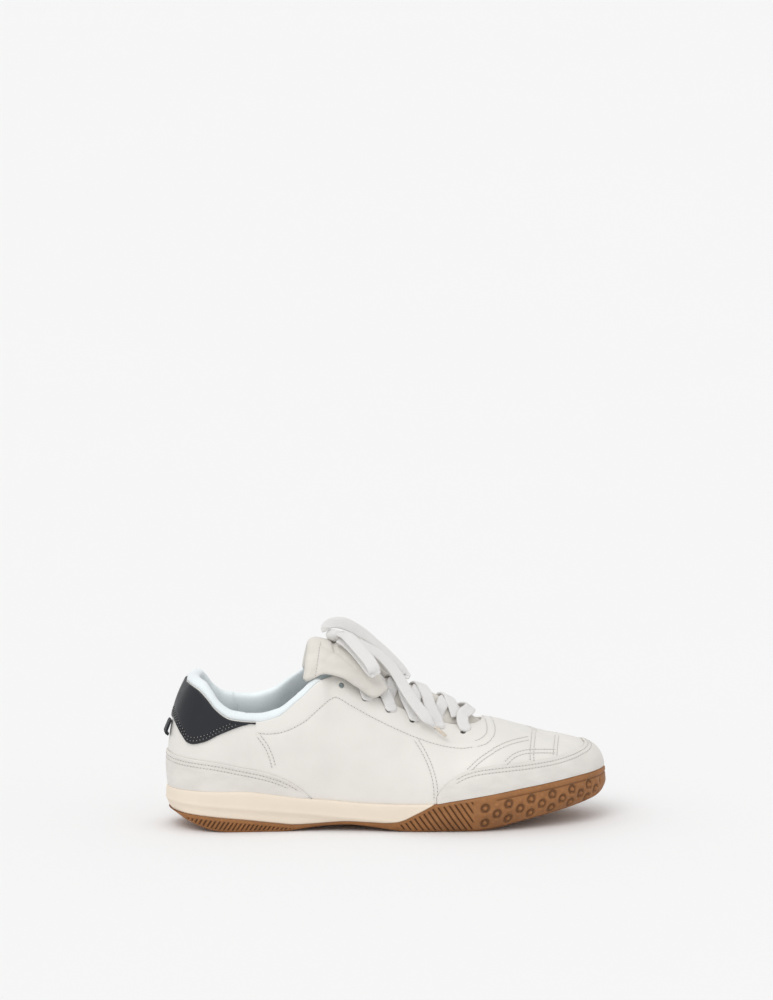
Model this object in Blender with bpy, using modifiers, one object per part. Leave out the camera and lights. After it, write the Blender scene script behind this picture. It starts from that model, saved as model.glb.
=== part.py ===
# Indoor soccer shoe, right foot, standing empty on its sole.
# Toe along +X, inner side along +Y, up along +Z, in metres.
# The origin is on the floor under the middle of the heel.

import math

import bmesh
import bpy
import numpy as np
from mathutils import Matrix, Vector

# Driving sizes
SOLE_LENGTH = 0.290
BALL_WIDTH = 0.1015
HEEL_HEIGHT = 0.0995
QUARTER_HEIGHT = 0.0768
INSTEP_HEIGHT = 0.1008
VAMP_HEIGHT = 0.0662
TOE_HEIGHT = 0.0568
STACK_HEIGHT = 0.0270
TOE_SPRING = 0.0128
TOE_SWING = 0.0080
MEDIAL_RISE = 0.0035
HEEL_REST = 0.0550
BALL_REST = 0.1780

# Walls, clearances and small parts
GAP = 0.0003
RIM_WALL = 0.0028
UPPER_WALL = 0.0020
OVERLAY_WALL = 0.0011
TAB_WALL = 0.0014
INSOLE_THICKNESS = 0.0040
CUFF_DEPTH = 0.0240
CUFF_PAD = 0.0062
TONGUE_THICKNESS = 0.0046
TONGUE_TUCK = 0.0110
TONGUE_RUN_IN = 0.0026
LACE_WIDTH = 0.0078
LACE_THICKNESS = 0.0016
FLAP_REACH = 0.0082
FLAP_SKEW = 0.009
VAMP_ROOM = 0.0009
EYELET_RADIUS = 0.0018
LOOP_WIDTH = 0.0100
LOOP_THICKNESS = 0.0012
LOOP_STAND_OFF = 0.0019
LOOP_ENDS = (0.695, 0.600)
BAR_BOW = 0.014
BAR_REACH = 0.45

# Tread
RIB_PITCH = 0.0050
RIB_GROOVE = 0.0013
RIB_DEPTH = 0.0009
NUB_RADIUS = 0.0019
NUB_HEIGHT = 0.0009
NUB_PITCH = 0.0108
LUG_PITCH = 0.0106
LUG_GROOVE = 0.0024
LUG_DEPTH = 0.0016
LUG_MARGIN = 0.0090

HEEL_RIBS = {"start": 0.035, "end": 0.30, "pitch": RIB_PITCH, "lean": 0.45, "tall": 0.62}
BALL_RIBS = {"start": 0.528, "end": 0.690, "pitch": 1.2 * RIB_PITCH, "lean": -0.50, "tall": 0.55}
RIB_MIDDLE = 0.52
NUB_ROWS = ({"level": 0.34, "shift": 0.0}, {"level": 0.60, "shift": 0.5})
NUB_SPAN = (0.715, 0.985)
NUB_SIDES = 4
PUNCH_SIDES = 6

# How finely the forms are cut
RIBS_COLLAR = 14
RIBS_THROAT = 9
RIBS_VAMP = 10
UPPER_ROWS = 8
WELD = 0.00005


def between(low, high, share):
    return low + (high - low) * share


# Half widths of the sole from its centre line, as shares of the ball width
OUTLINE = {
    "station": (0.000, 0.124, 0.207, 0.310, 0.400, 0.500, 0.600, 0.700, 1.000),
    "lateral": (0.335, 0.335, 0.340, 0.343, 0.372, 0.442, 0.511, 0.552, 0.552),
    "medial": (0.330, 0.325, 0.318, 0.290, 0.278, 0.339, 0.413, 0.448, 0.448),
}
HEEL_CAP = {"share": 0.130, "power": 2.0}
TOE_CAP = {"share": 0.300, "lateral": 1.85, "medial": 2.15}
SWING_STARTS = 0.35

# The opening's edge and then the ridge of the vamp, a row for each rib
# rib: 0 at the back of the heel, 1 at the tip of the toe
# top: station of the upper end; height in metres; gap: half width there, as a share of the ball width
# angle: how steeply the rib arrives; reach, lift: lengths of its two handles; swell: outward bulge
TOP = [
    dict(rib=0.000, top=0.0535, height=HEEL_HEIGHT, gap=0.000, angle=60, reach=0.32, lift=0.40, swell=0.055),
    dict(rib=0.060, top=0.059, height=between(QUARTER_HEIGHT, HEEL_HEIGHT, 0.98), gap=0.108,
         angle=61, reach=0.32, lift=0.40, swell=0.050),
    dict(rib=0.119, top=0.074, height=between(QUARTER_HEIGHT, HEEL_HEIGHT, 0.87), gap=0.192,
         angle=66, reach=0.31, lift=0.40, swell=0.044),
    dict(rib=0.150, top=0.090, height=between(QUARTER_HEIGHT, HEEL_HEIGHT, 0.64), gap=0.230,
         angle=70, reach=0.30, lift=0.40, swell=0.038),
    dict(rib=0.180, top=0.107, height=between(QUARTER_HEIGHT, HEEL_HEIGHT, 0.35), gap=0.256,
         angle=74, reach=0.30, lift=0.40, swell=0.033),
    dict(rib=0.229, top=0.141, height=between(QUARTER_HEIGHT, HEEL_HEIGHT, 0.07), gap=0.279,
         angle=77, reach=0.30, lift=0.40, swell=0.028),
    dict(rib=0.287, top=0.197, height=QUARTER_HEIGHT, gap=0.286,
         angle=77, reach=0.30, lift=0.40, swell=0.022),
    dict(rib=0.327, top=0.241, height=between(QUARTER_HEIGHT, INSTEP_HEIGHT, 0.11), gap=0.283,
         angle=75, reach=0.30, lift=0.38, swell=0.020),
    dict(rib=0.367, top=0.293, height=between(QUARTER_HEIGHT, INSTEP_HEIGHT, 0.57), gap=0.272,
         angle=70, reach=0.30, lift=0.37, swell=0.020),
    dict(rib=0.402, top=0.341, height=between(QUARTER_HEIGHT, INSTEP_HEIGHT, 0.97), gap=0.241,
         angle=65, reach=0.32, lift=0.36, swell=0.020),
    dict(rib=0.418, top=0.369, height=INSTEP_HEIGHT, gap=0.200,
         angle=62, reach=0.33, lift=0.36, swell=0.020),
    dict(rib=0.470, top=0.452, height=between(VAMP_HEIGHT, INSTEP_HEIGHT, 0.64), gap=0.193,
         angle=57, reach=0.36, lift=0.38, swell=0.022),
    dict(rib=0.526, top=0.541, height=between(VAMP_HEIGHT, INSTEP_HEIGHT, 0.27), gap=0.187,
         angle=50, reach=0.40, lift=0.42, swell=0.025),
    dict(rib=0.564, top=0.600, height=between(VAMP_HEIGHT, INSTEP_HEIGHT, 0.09), gap=0.177,
         angle=42, reach=0.44, lift=0.46, swell=0.028),
    dict(rib=0.600, top=0.655, height=between(VAMP_HEIGHT, INSTEP_HEIGHT, -0.03), gap=0.153,
         angle=30, reach=0.48, lift=0.50, swell=0.030),
    dict(rib=0.631, top=0.693, height=between(VAMP_HEIGHT, INSTEP_HEIGHT, -0.04), gap=0.108,
         angle=16, reach=0.50, lift=0.54, swell=0.030),
    dict(rib=0.650, top=0.712, height=between(VAMP_HEIGHT, INSTEP_HEIGHT, -0.02), gap=0.049,
         angle=6, reach=0.52, lift=0.57, swell=0.030),
    dict(rib=0.660, top=0.718, height=VAMP_HEIGHT, gap=0.000, angle=0, reach=0.53, lift=0.58, swell=0.030),
    dict(rib=0.699, top=0.742, height=between(TOE_HEIGHT, VAMP_HEIGHT, 0.88), gap=0.000,
         angle=0, reach=0.55, lift=0.62, swell=0.030),
    dict(rib=0.758, top=0.783, height=between(TOE_HEIGHT, VAMP_HEIGHT, 0.53), gap=0.000,
         angle=0, reach=0.57, lift=0.66, swell=0.032),
    dict(rib=0.831, top=0.821, height=between(TOE_HEIGHT, VAMP_HEIGHT, 0.19), gap=0.000,
         angle=0, reach=0.60, lift=0.70, swell=0.034),
    dict(rib=0.881, top=0.836, height=between(TOE_HEIGHT, VAMP_HEIGHT, 0.06), gap=0.000,
         angle=0, reach=0.61, lift=0.73, swell=0.035),
    dict(rib=1.000, top=0.845, height=TOE_HEIGHT, gap=0.000, angle=0, reach=0.62, lift=0.75, swell=0.035),
]
RIB_CORNER = 0.418
RIB_THROAT = 0.660

# Heights along the sole, as shares of the heel stack: underside, its split from the midsole, the rim and the foot bed
UNDERSIDE = {
    "station": (-0.01, 0.000, 0.017, 0.038, 0.069, 0.090, 0.112, 0.138, 0.248, 0.297, 0.352, 0.397, 0.445, 0.479,
                0.515, 0.560, 0.690),
    "height": (0.50, 0.455, 0.390, 0.265, 0.130, 0.063, 0.020, 0.000, 0.000, 0.067, 0.137, 0.163, 0.126, 0.075,
               0.022, 0.000, 0.000),
}
SPRING = {
    "station": (0.690, 0.735, 0.779, 0.824, 0.872, 0.917, 0.960, 1.000),
    "height": (0.00, 0.14, 0.35, 0.53, 0.70, 0.86, 0.98, 1.06),
}
SPLIT = {
    "station": (-0.05, 0.034, 0.066, 0.155, 0.235, 0.280, 0.310, 0.355, 0.397, 0.445, 0.480, 0.503, 0.524, 0.545,
                0.567, 0.590),
    "height": (0.50, 0.419, 0.400, 0.315, 0.215, 0.167, 0.175, 0.211, 0.240, 0.226, 0.220, 0.244, 0.311, 0.430,
               0.556, 0.700),
}
RIM = {
    "station": (0.000, 0.066, 0.159, 0.250, 0.297, 0.379, 0.424, 0.513, 0.596, 0.624, 0.692, 0.738, 0.785, 0.831,
                0.879, 0.929, 1.000),
    "height": (1.000, 1.011, 1.007, 0.889, 0.819, 0.748, 0.704, 0.685, 0.707, 0.759, 0.878, 0.948, 1.022, 1.078,
               1.133, 1.185, 1.222),
}
FOOT_BED = {
    "station": (0.000, 0.172, 0.379, 0.517, 0.655, 0.759, 0.862, 1.000),
    "height": (0.741, 0.741, 0.519, 0.370, 0.389, 0.481, 0.611, 0.778),
}

# The side of the sole from its lower edge (0) to its rim (1), as insets in shares of the rim wall
SIDE = [
    dict(rise=0.00, heel=1.10, toe=2.90),
    dict(rise=0.09, heel=0.45, toe=1.70),
    dict(rise=0.28, heel=0.10, toe=0.60),
    dict(rise=0.54, heel=0.00, toe=0.00),
    dict(rise=0.70, heel=0.00, toe=0.10),
    dict(rise=0.745, heel=0.02, toe=0.50),
    dict(rise=0.79, heel=0.05, toe=0.15),
    dict(rise=0.92, heel=0.20, toe=0.30),
    dict(rise=1.00, heel=0.45, toe=0.60),
]

# How far the leather ends below the top of the cuff, in shares of the cuff's depth
CUFF_BAND = {
    "rib": (0.000, 0.119, 0.200, 0.300, 0.370, 0.400, 0.418),
    "drop": (0.200, 0.190, 0.185, 0.185, 0.150, 0.090, 0.030),
}
CUFF_END = 0.406

# Edges of the overlays, as shares of the instep height
TAB_EDGE = {
    "rib": (0.000, 0.060, 0.100, 0.122, 0.135, 0.165, 0.200, 0.230, 0.262, 0.283),
    "height": (0.735, 0.685, 0.620, 0.580, 0.573, 0.590, 0.637, 0.670, 0.702, 0.722),
}
FOXING_EDGE = {
    "rib": (0.000, 0.090, 0.167, 0.209, 0.250, 0.289, 0.317, 0.343, 0.361, 0.374),
    "height": (0.500, 0.486, 0.473, 0.460, 0.435, 0.407, 0.379, 0.337, 0.292, 0.245),
}
GUARD_EDGE = {
    "rib": (0.560, 0.572, 0.590, 0.610, 0.632, 0.662, 0.700, 0.760, 0.830, 0.900, 1.000),
    "height": (0.230, 0.300, 0.360, 0.397, 0.415, 0.427, 0.433, 0.441, 0.456, 0.472, 0.490),
}
# The least height that an overlay keeps at its tapered ends
TAPER = 0.0012

# How far the tongue's middle stands above the edges of the throat, as shares of the instep height
TONGUE_RISE = {
    "rib": (0.400, 0.470, 0.526, 0.560, 0.588, 0.612, 0.640),
    "rise": (0.065, 0.086, 0.142, 0.152, 0.132, 0.092, 0.024),
}
TONGUE_ENDS = 0.640
TONGUE_TIP = (0.0090, 0.0, -0.0045)

# The flap, folded forward over the laces, a row from the fold to its front edge
# crest, edge: stations of its middle and of its two sides; heights as shares of the instep height
# half: half width as a share of the ball width
FLAP = [
    dict(crest=0.348, crest_height=1.190, edge=0.322, edge_height=1.005, half=0.246),
    dict(crest=0.376, crest_height=1.166, edge=0.355, edge_height=1.032, half=0.256),
    dict(crest=0.402, crest_height=1.131, edge=0.393, edge_height=1.000, half=0.266),
    dict(crest=0.428, crest_height=1.092, edge=0.431, edge_height=0.932, half=0.272),
    dict(crest=0.452, crest_height=1.055, edge=0.472, edge_height=0.895, half=0.260),
    dict(crest=0.472, crest_height=1.026, edge=0.508, edge_height=0.930, half=0.205),
]

# The eyelets, by rib and by how far they lie below the edge of the throat in metres
EYELETS = [
    dict(rib=0.430, inset=0.0056),
    dict(rib=0.463, inset=0.0056),
    dict(rib=0.497, inset=0.0056),
    dict(rib=0.531, inset=0.0058),
    dict(rib=0.567, inset=0.0064),
    dict(rib=0.608, inset=0.0082),
]

SUEDE = (0.74, 0.72, 0.68)
COLOURS = {
    "outsole": (0.35, 0.14, 0.045, 0.75, 0.0),
    "midsole": (0.80, 0.72, 0.60, 0.65, 0.0),
    "insole": (0.78, 0.80, 0.80, 0.90, 0.0),
    "upper": (0.80, 0.78, 0.74, 0.50, 0.0),
    "toe_guard": (*SUEDE, 0.90, 0.0),
    "heel_foxing": (*SUEDE, 0.90, 0.0),
    "heel_tab": (0.030, 0.033, 0.042, 0.55, 0.0),
    "pull_loop": (0.030, 0.033, 0.042, 0.85, 0.0),
    "collar_cuff": (0.80, 0.84, 0.86, 0.85, 0.0),
    "tongue": (0.72, 0.70, 0.65, 0.90, 0.0),
    "lace": (0.85, 0.85, 0.85, 0.80, 0.0),
}


# Curves through the tables

def curve(xs, ys, x):
    """A smooth curve through a table's points that never swings past them."""
    xs, ys = np.asarray(xs, float), np.asarray(ys, float)
    steps = np.diff(xs)
    slopes = np.diff(ys) / steps
    turns = np.zeros(len(xs))
    turns[0], turns[-1] = slopes[0], slopes[-1]
    for i in range(1, len(xs) - 1):
        if slopes[i - 1] * slopes[i] > 0:
            before, after = 2 * steps[i] + steps[i - 1], steps[i] + 2 * steps[i - 1]
            turns[i] = (before + after) / (before / slopes[i - 1] + after / slopes[i])
    x = min(max(x, xs[0]), xs[-1])
    i = min(int(np.searchsorted(xs, x, side="right")) - 1, len(steps) - 1)
    t = (x - xs[i]) / steps[i]
    rise = ys[i] * (1 + 2 * t) * (1 - t) ** 2 + ys[i + 1] * t * t * (3 - 2 * t)
    return float(rise + steps[i] * t * (1 - t) * (turns[i] * (1 - t) - turns[i + 1] * t))


def column(rows, name):
    return [row[name] for row in rows]


def ease(x):
    x = min(max(x, 0.0), 1.0)
    return x * x * (3 - 2 * x)


def station_x(station):
    return SOLE_LENGTH * station - HEEL_REST


def centre_y(station):
    return TOE_SWING * ease((station - SWING_STARTS) / (1 - SWING_STARTS))


def stack(table, station):
    return STACK_HEIGHT * curve(table["station"], table["height"], station)


def underside(station):
    if station <= SPRING["station"][0]:
        return stack(UNDERSIDE, station)
    return TOE_SPRING * curve(SPRING["station"], SPRING["height"], station)


# The plan of the sole and of the upper's lower edge.
# u runs from -1, at the toe, along the lateral side to 0, at the heel, and along the medial side to 1.

def rib_station(rib):
    return (1 - math.cos(math.pi * rib)) / 2


def sole_edge(u):
    rib, side = abs(u), "lateral" if u < 0 else "medial"
    station = rib_station(rib)
    half = BALL_WIDTH * curve(OUTLINE["station"], OUTLINE[side], station)
    if station < HEEL_CAP["share"]:
        left = max(0.0, 1 - abs(1 - station / HEEL_CAP["share"]) ** HEEL_CAP["power"])
        half *= left ** (1 / HEEL_CAP["power"])
    if station > 1 - TOE_CAP["share"]:
        along = (station - 1 + TOE_CAP["share"]) / TOE_CAP["share"]
        half *= max(0.0, 1 - along ** TOE_CAP[side]) ** (1 / TOE_CAP[side])
    across = centre_y(station) + math.copysign(half, u)
    return np.array([station_x(station), across])


def outward(u):
    """The plan direction that points out of the shoe."""
    step = 0.004
    ahead, behind = sole_edge(wrap(u + step)), sole_edge(wrap(u - step))
    run = ahead - behind
    run /= np.linalg.norm(run)
    return np.array([-run[1], run[0]])


def wrap(u):
    return (u + 1) % 2 - 1


def feather(u, inset=RIM_WALL + GAP):
    return sole_edge(u) - outward(u) * inset


def station_of(x):
    return (x + HEEL_REST) / SOLE_LENGTH


# The upper's ribs. Each is one smooth curve from the feather line to the opening or the ridge.

def top_value(rib, name):
    return curve(column(TOP, "rib"), column(TOP, name), rib)


def top_point(u):
    rib = abs(u)
    station = top_value(rib, "top")
    half = BALL_WIDTH * top_value(rib, "gap")
    height = top_value(rib, "height")
    if u > 0:
        height += MEDIAL_RISE * ease(rib / 0.2) * ease((RIB_CORNER - rib) / 0.1)
    return np.array([station_x(station), centre_y(station) + math.copysign(half, u), height])


def ridge_slope(rib):
    if rib < RIB_THROAT:
        return 0.0
    step = 0.01
    ahead, behind = min(rib + step, 1.0), max(rib - step, RIB_THROAT)
    run = SOLE_LENGTH * (top_value(ahead, "top") - top_value(behind, "top"))
    return (top_value(ahead, "height") - top_value(behind, "height")) / run


RIB_CACHE = {}


def rib_curve(u):
    """Points along a rib, the share of its length at each, and its length."""
    key = round(u, 6)
    if key in RIB_CACHE:
        return RIB_CACHE[key]
    rib = abs(u)
    base = feather(u)
    low = stack(FOOT_BED, station_of(base[0])) + GAP
    start, end = np.array([base[0], base[1], low]), top_point(u)
    flat = end[:2] - start[:2]
    inward = flat / max(np.linalg.norm(flat), 1e-9)
    if np.linalg.norm(flat) < 0.004:
        inward = -outward(u)
    angle = math.radians(top_value(rib, "angle"))
    arrive = np.array([inward[0] * math.cos(angle), inward[1] * math.cos(angle),
                       math.sin(angle) + ridge_slope(rib) * inward[0]])
    out = outward(u) * BALL_WIDTH * top_value(rib, "swell")
    rise = (end[2] - start[2]) * top_value(rib, "lift")
    first = start + np.array([out[0], out[1], rise])
    second = end - arrive * top_value(rib, "reach") * np.linalg.norm(end - start)
    t = np.linspace(0, 1, 61)[:, None]
    points = start * (1 - t) ** 3 + first * 3 * t * (1 - t) ** 2 + second * 3 * t * t * (1 - t) + end * t ** 3
    along = np.concatenate([[0], np.cumsum(np.linalg.norm(np.diff(points, axis=0), axis=1))])
    RIB_CACHE[key] = points, along / along[-1], along[-1]
    return RIB_CACHE[key]


def rib_point(u, share):
    points, shares, _ = rib_curve(u)
    return np.array([np.interp(share, shares, points[:, k]) for k in range(3)])


def rib_length(u):
    return rib_curve(u)[2]


def share_at_height(u, height):
    points, shares, _ = rib_curve(u)
    rising = points[:, 2]
    peak = int(rising.argmax())
    return float(np.interp(height, rising[:peak + 1], shares[:peak + 1]))


def share_below_top(u, distance):
    return 1 - distance / rib_length(u)


def normal(u, share):
    """The direction out of the upper's surface."""
    step, rise = 0.006, 0.02
    share = min(max(share, rise), 1 - rise)
    along = rib_point(wrap(u + step), share) - rib_point(wrap(u - step), share)
    up = rib_point(u, share + rise) - rib_point(u, share - rise)
    out = np.cross(up, along)
    return out / np.linalg.norm(out)


def surface(u, share, offset=0.0):
    """A point of the upper, or off it by offset along its normal. Past 1 the rib runs on straight."""
    point = rib_point(u, min(share, 1.0))
    if share > 1:
        run = rib_point(u, 1.0) - rib_point(u, 0.97)
        point = point + run / np.linalg.norm(run) * (share - 1) * rib_length(u)
    return point + normal(u, share) * offset


def rim_height(u):
    return stack(RIM, station_of(sole_edge(u)[0]))


def side_ribs():
    """The ribs of one side, from heel to toe, with one on each corner of the opening."""
    back = np.linspace(0, CUFF_END, RIBS_COLLAR)
    throat = np.linspace(RIB_CORNER, RIB_THROAT, RIBS_THROAT + 1)
    front = np.linspace(RIB_THROAT, 1, RIBS_VAMP + 1)
    return [float(r) for r in np.concatenate([back, throat, front[1:]])]


def nearest_rib(rib):
    return min(side_ribs(), key=lambda other: abs(other - rib))


def round_ribs():
    """All the ribs, from the toe along the lateral side to the heel and back to the toe."""
    ribs = side_ribs()
    return [-r for r in reversed(ribs)] + ribs[1:-1]


def ribs_from(low, high):
    """The ribs of both sides with low <= u <= high, and the two ends."""
    inner = [u for u in sorted({-r for r in side_ribs()} | set(side_ribs())) if low + 0.004 < u < high - 0.004]
    return [low] + inner + [high]


# Meshes

def make_object(name, mesh, collection, colour):
    item = bpy.data.objects.new(name, mesh)
    collection.objects.link(item)
    material = bpy.data.materials.new(name)
    material.use_nodes = True
    shader = material.node_tree.nodes["Principled BSDF"]
    red, green, blue, rough, metal = colour
    shader.inputs["Base Color"].default_value = (red, green, blue, 1)
    shader.inputs["Roughness"].default_value = rough
    shader.inputs["Metallic"].default_value = metal
    material.diffuse_color = (red, green, blue, 1)
    mesh.materials.append(material)
    return item


def grid_mesh(name, rows, close_rows=False, close_columns=False, caps=False):
    """A mesh through rows of points, with equal points welded. close_columns joins each row's ends."""
    work = bmesh.new()
    verts = [[work.verts.new(p) for p in row] for row in rows]
    high, wide = len(rows), len(rows[0])
    for i in range(high if close_rows else high - 1):
        for j in range(wide if close_columns else wide - 1):
            a, b = verts[i][j], verts[i][(j + 1) % wide]
            c, d = verts[(i + 1) % high][(j + 1) % wide], verts[(i + 1) % high][j]
            work.faces.new((a, b, c, d))
    if caps:
        work.faces.new(list(reversed(verts[0])))
        work.faces.new(verts[-1])
    bmesh.ops.remove_doubles(work, verts=work.verts, dist=WELD)
    bmesh.ops.dissolve_degenerate(work, edges=work.edges, dist=WELD / 5)
    bmesh.ops.recalc_face_normals(work, faces=work.faces)
    mesh = bpy.data.meshes.new(name)
    work.to_mesh(mesh)
    work.free()
    return mesh


def thicken(item, wall, offset):
    solid = item.modifiers.new("wall", "SOLIDIFY")
    solid.thickness = wall
    solid.offset = offset
    solid.use_even_offset = True
    solid.use_quality_normals = True
    return item


def face_out(mesh, centre):
    """Turns an open sheet's faces away from a point inside the shoe."""
    total = sum((face.center - Vector(centre)).dot(face.normal) * face.area for face in mesh.polygons)
    if total < 0:
        mesh.flip_normals()


def boolean(item, other, operation):
    cut = item.modifiers.new(operation.lower(), "BOOLEAN")
    cut.operation = operation
    cut.solver = "EXACT"
    cut.object = other


def hide_cutter(item):
    item.hide_render = True
    item.display_type = "WIRE"
    return item


def joined_mesh(name, meshes):
    """One mesh of several, which don't meet."""
    work = bmesh.new()
    for mesh in meshes:
        work.from_mesh(mesh)
        bpy.data.meshes.remove(mesh)
    mesh = bpy.data.meshes.new(name)
    work.to_mesh(mesh)
    work.free()
    return mesh


def block(size, place):
    work = bmesh.new()
    bmesh.ops.create_cube(work, size=1, matrix=place @ Matrix.Diagonal((*size, 1)))
    mesh = bpy.data.meshes.new("block")
    work.to_mesh(mesh)
    work.free()
    return mesh


def stud(radius, tip_radius, depth, place, sides):
    work = bmesh.new()
    bmesh.ops.create_cone(work, cap_ends=True, segments=sides, radius1=radius, radius2=tip_radius,
                          depth=depth, matrix=place)
    mesh = bpy.data.meshes.new("stud")
    work.to_mesh(mesh)
    work.free()
    return mesh


def frame_at(point, across, up, out):
    """A matrix with its X, Y and Z along three directions."""
    place = Matrix.Identity(4)
    for i, axis in enumerate((across, up, out)):
        for k in range(3):
            place[k][i] = axis[k]
    for k in range(3):
        place[k][3] = point[k]
    return place


# Sole

def side_inset(row, station):
    return RIM_WALL * between(row["heel"], row["toe"], ease((station - 0.45) / 0.25))


def wall_point(u, rise, inset_row):
    """A point on the side of the sole, rise of the way from its lower edge to its rim."""
    edge = sole_edge(u)
    station = station_of(edge[0])
    plan = edge - outward(u) * side_inset(inset_row, station)
    low = underside(station_of(plan[0]))
    return np.array([plan[0], plan[1], between(low, rim_height(u), rise)])


def centre_station(u):
    """The station of the centre line that faces a rib."""
    return min(max(rib_station(abs(u)), 0.13), 0.86)


def sole_rows():
    ribs = round_ribs()
    bed_inset = RIM_WALL + GAP + 2 * UPPER_WALL
    rows = [[], []]
    for u in ribs:
        middle = centre_station(u)
        rows[0].append((station_x(middle), centre_y(middle), underside(middle)))
        plan = feather(u, 3.5 * RIM_WALL)
        rows[1].append((plan[0], plan[1], underside(station_of(plan[0]))))
    for row in SIDE:
        rows.append([tuple(wall_point(u, row["rise"], row)) for u in ribs])
    for rise in (1.0, 0.66, 0.33):
        rows.append([tuple(surface(u, rise * share_at_height(u, rim_height(u)), GAP)) for u in ribs])
    foot, bed, middle_bed = [], [], []
    for u in ribs:
        corner = surface(u, 0, GAP)
        foot.append((corner[0], corner[1], stack(FOOT_BED, station_of(corner[0]))))
        plan = feather(u, bed_inset)
        bed.append((plan[0], plan[1], stack(FOOT_BED, station_of(plan[0]))))
        middle = centre_station(u)
        middle_bed.append((station_x(middle), centre_y(middle), stack(FOOT_BED, middle)))
    return rows + [foot, bed, middle_bed]


def split_cutter(name, shift, collection):
    """A prism whose lower side is the split between outsole and midsole, moved up by shift."""
    high, wide = 3 * STACK_HEIGHT, 1.5 * BALL_WIDTH
    stations = np.linspace(SPLIT["station"][0], SPLIT["station"][-1], 34)
    lower = [(station_x(s), stack(SPLIT, s) + shift) for s in stations]
    outline = lower + [(lower[-1][0], high), (lower[0][0], high)]
    work = bmesh.new()
    near = [work.verts.new((x, -wide, z)) for x, z in outline]
    far = [work.verts.new((x, wide, z)) for x, z in outline]
    work.faces.new(near)
    work.faces.new(list(reversed(far)))
    for i in range(len(outline)):
        j = (i + 1) % len(outline)
        work.faces.new((near[j], near[i], far[i], far[j]))
    bmesh.ops.triangulate(work, faces=[f for f in work.faces if len(f.verts) > 4])
    bmesh.ops.recalc_face_normals(work, faces=work.faces)
    mesh = bpy.data.meshes.new(name)
    work.to_mesh(mesh)
    work.free()
    item = bpy.data.objects.new(name, mesh)
    collection.objects.link(item)
    return hide_cutter(item)


def edge_marks(start, end, pitch):
    """Values of u on one side, evenly spaced along the sole's edge between two stations."""
    ribs = np.linspace(0, 1, 400)
    points = np.array([sole_edge(-r) for r in ribs])
    along = np.concatenate([[0], np.cumsum(np.linalg.norm(np.diff(points, axis=0), axis=1))])
    first, last = (float(np.interp(math.acos(1 - 2 * s) / math.pi, ribs, along)) for s in (start, end))
    count = max(2, int((last - first) / pitch) + 1)
    return [float(np.interp(a, along, ribs)) for a in np.linspace(first, last, count)]


def wall_frame(u, rise, lean):
    """A frame on the side of the sole: X along it, Y up it and turned by lean, Z out of it."""
    rises = column(SIDE, "rise")
    row = {name: float(np.interp(rise, rises, column(SIDE, name))) for name in ("heel", "toe")}
    plan = outward(u)
    out = np.array([plan[0], plan[1], 0.0])
    along = np.array([-plan[1], plan[0], 0.0])
    turned = np.array([0.0, 0.0, 1.0]) * math.cos(lean) + along * math.sin(lean)
    return frame_at(wall_point(u, rise, row), np.cross(turned, out), turned, out)


def rib_cutters():
    """Grooves between the ribs of the heel's and the ball's side walls."""
    cutters = []
    for side in (-1, 1):
        for band in (HEEL_RIBS, BALL_RIBS):
            for rib in edge_marks(band["start"], band["end"], band["pitch"]):
                u = side * rib
                station = station_of(sole_edge(u)[0])
                low = underside(station)
                high = min(stack(SPLIT, station), rim_height(u)) if band is HEEL_RIBS else rim_height(u)
                rise = (high - low) * RIB_MIDDLE / (rim_height(u) - low)
                place = wall_frame(u, rise, -side * band["lean"])
                cutters.append(block((RIB_GROOVE, (high - low) * band["tall"], 2 * RIB_DEPTH), place))
    return cutters


def nub_studs():
    studs = []
    for side in (-1, 1):
        for row in NUB_ROWS:
            marks = edge_marks(*NUB_SPAN, NUB_PITCH)
            for first, second in zip(marks, marks[1:]):
                place = wall_frame(side * between(first, second, row["shift"]), row["level"], 0.0)
                studs.append(stud(NUB_RADIUS, 0.5 * NUB_RADIUS, 2 * NUB_HEIGHT, place, NUB_SIDES))
    return studs


def lug_cutters():
    """Grooves across the underside, which leave the lugs standing."""
    cutters = []
    for start, end in ((BALL_REST - 3.5 * LUG_PITCH, BALL_REST + 5.5 * LUG_PITCH),
                       (HEEL_REST - 1.5 * LUG_PITCH, HEEL_REST + 2.5 * LUG_PITCH)):
        count = int(round((end - start) / LUG_PITCH)) + 1
        for i in range(count):
            station = (start + i * LUG_PITCH) / SOLE_LENGTH
            rib = math.acos(1 - 2 * station) / math.pi
            low, high = sole_edge(-rib)[1] + LUG_MARGIN, sole_edge(rib)[1] - LUG_MARGIN
            place = Matrix.Translation((station_x(station), (low + high) / 2, underside(station)))
            cutters.append(block((LUG_GROOVE, high - low, 2 * LUG_DEPTH), place))
    return cutters


def cutter_object(name, meshes, collection):
    item = bpy.data.objects.new(name, joined_mesh(name, meshes))
    collection.objects.link(item)
    return hide_cutter(item)


def build_sole(parts, cutters):
    rows = sole_rows()
    for name, operation, shift in (("outsole", "DIFFERENCE", -GAP / 2), ("midsole", "INTERSECT", GAP / 2)):
        mesh = grid_mesh(name, rows, close_columns=True)
        item = make_object(name, mesh, parts, COLOURS[name])
        boolean(item, split_cutter(name + "_split", shift, cutters), operation)
        if name == "outsole":
            boolean(item, cutter_object("nubs", nub_studs(), cutters), "UNION")
            boolean(item, cutter_object("side_grooves", rib_cutters(), cutters), "DIFFERENCE")
            boolean(item, cutter_object("lug_grooves", lug_cutters(), cutters), "DIFFERENCE")


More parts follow.
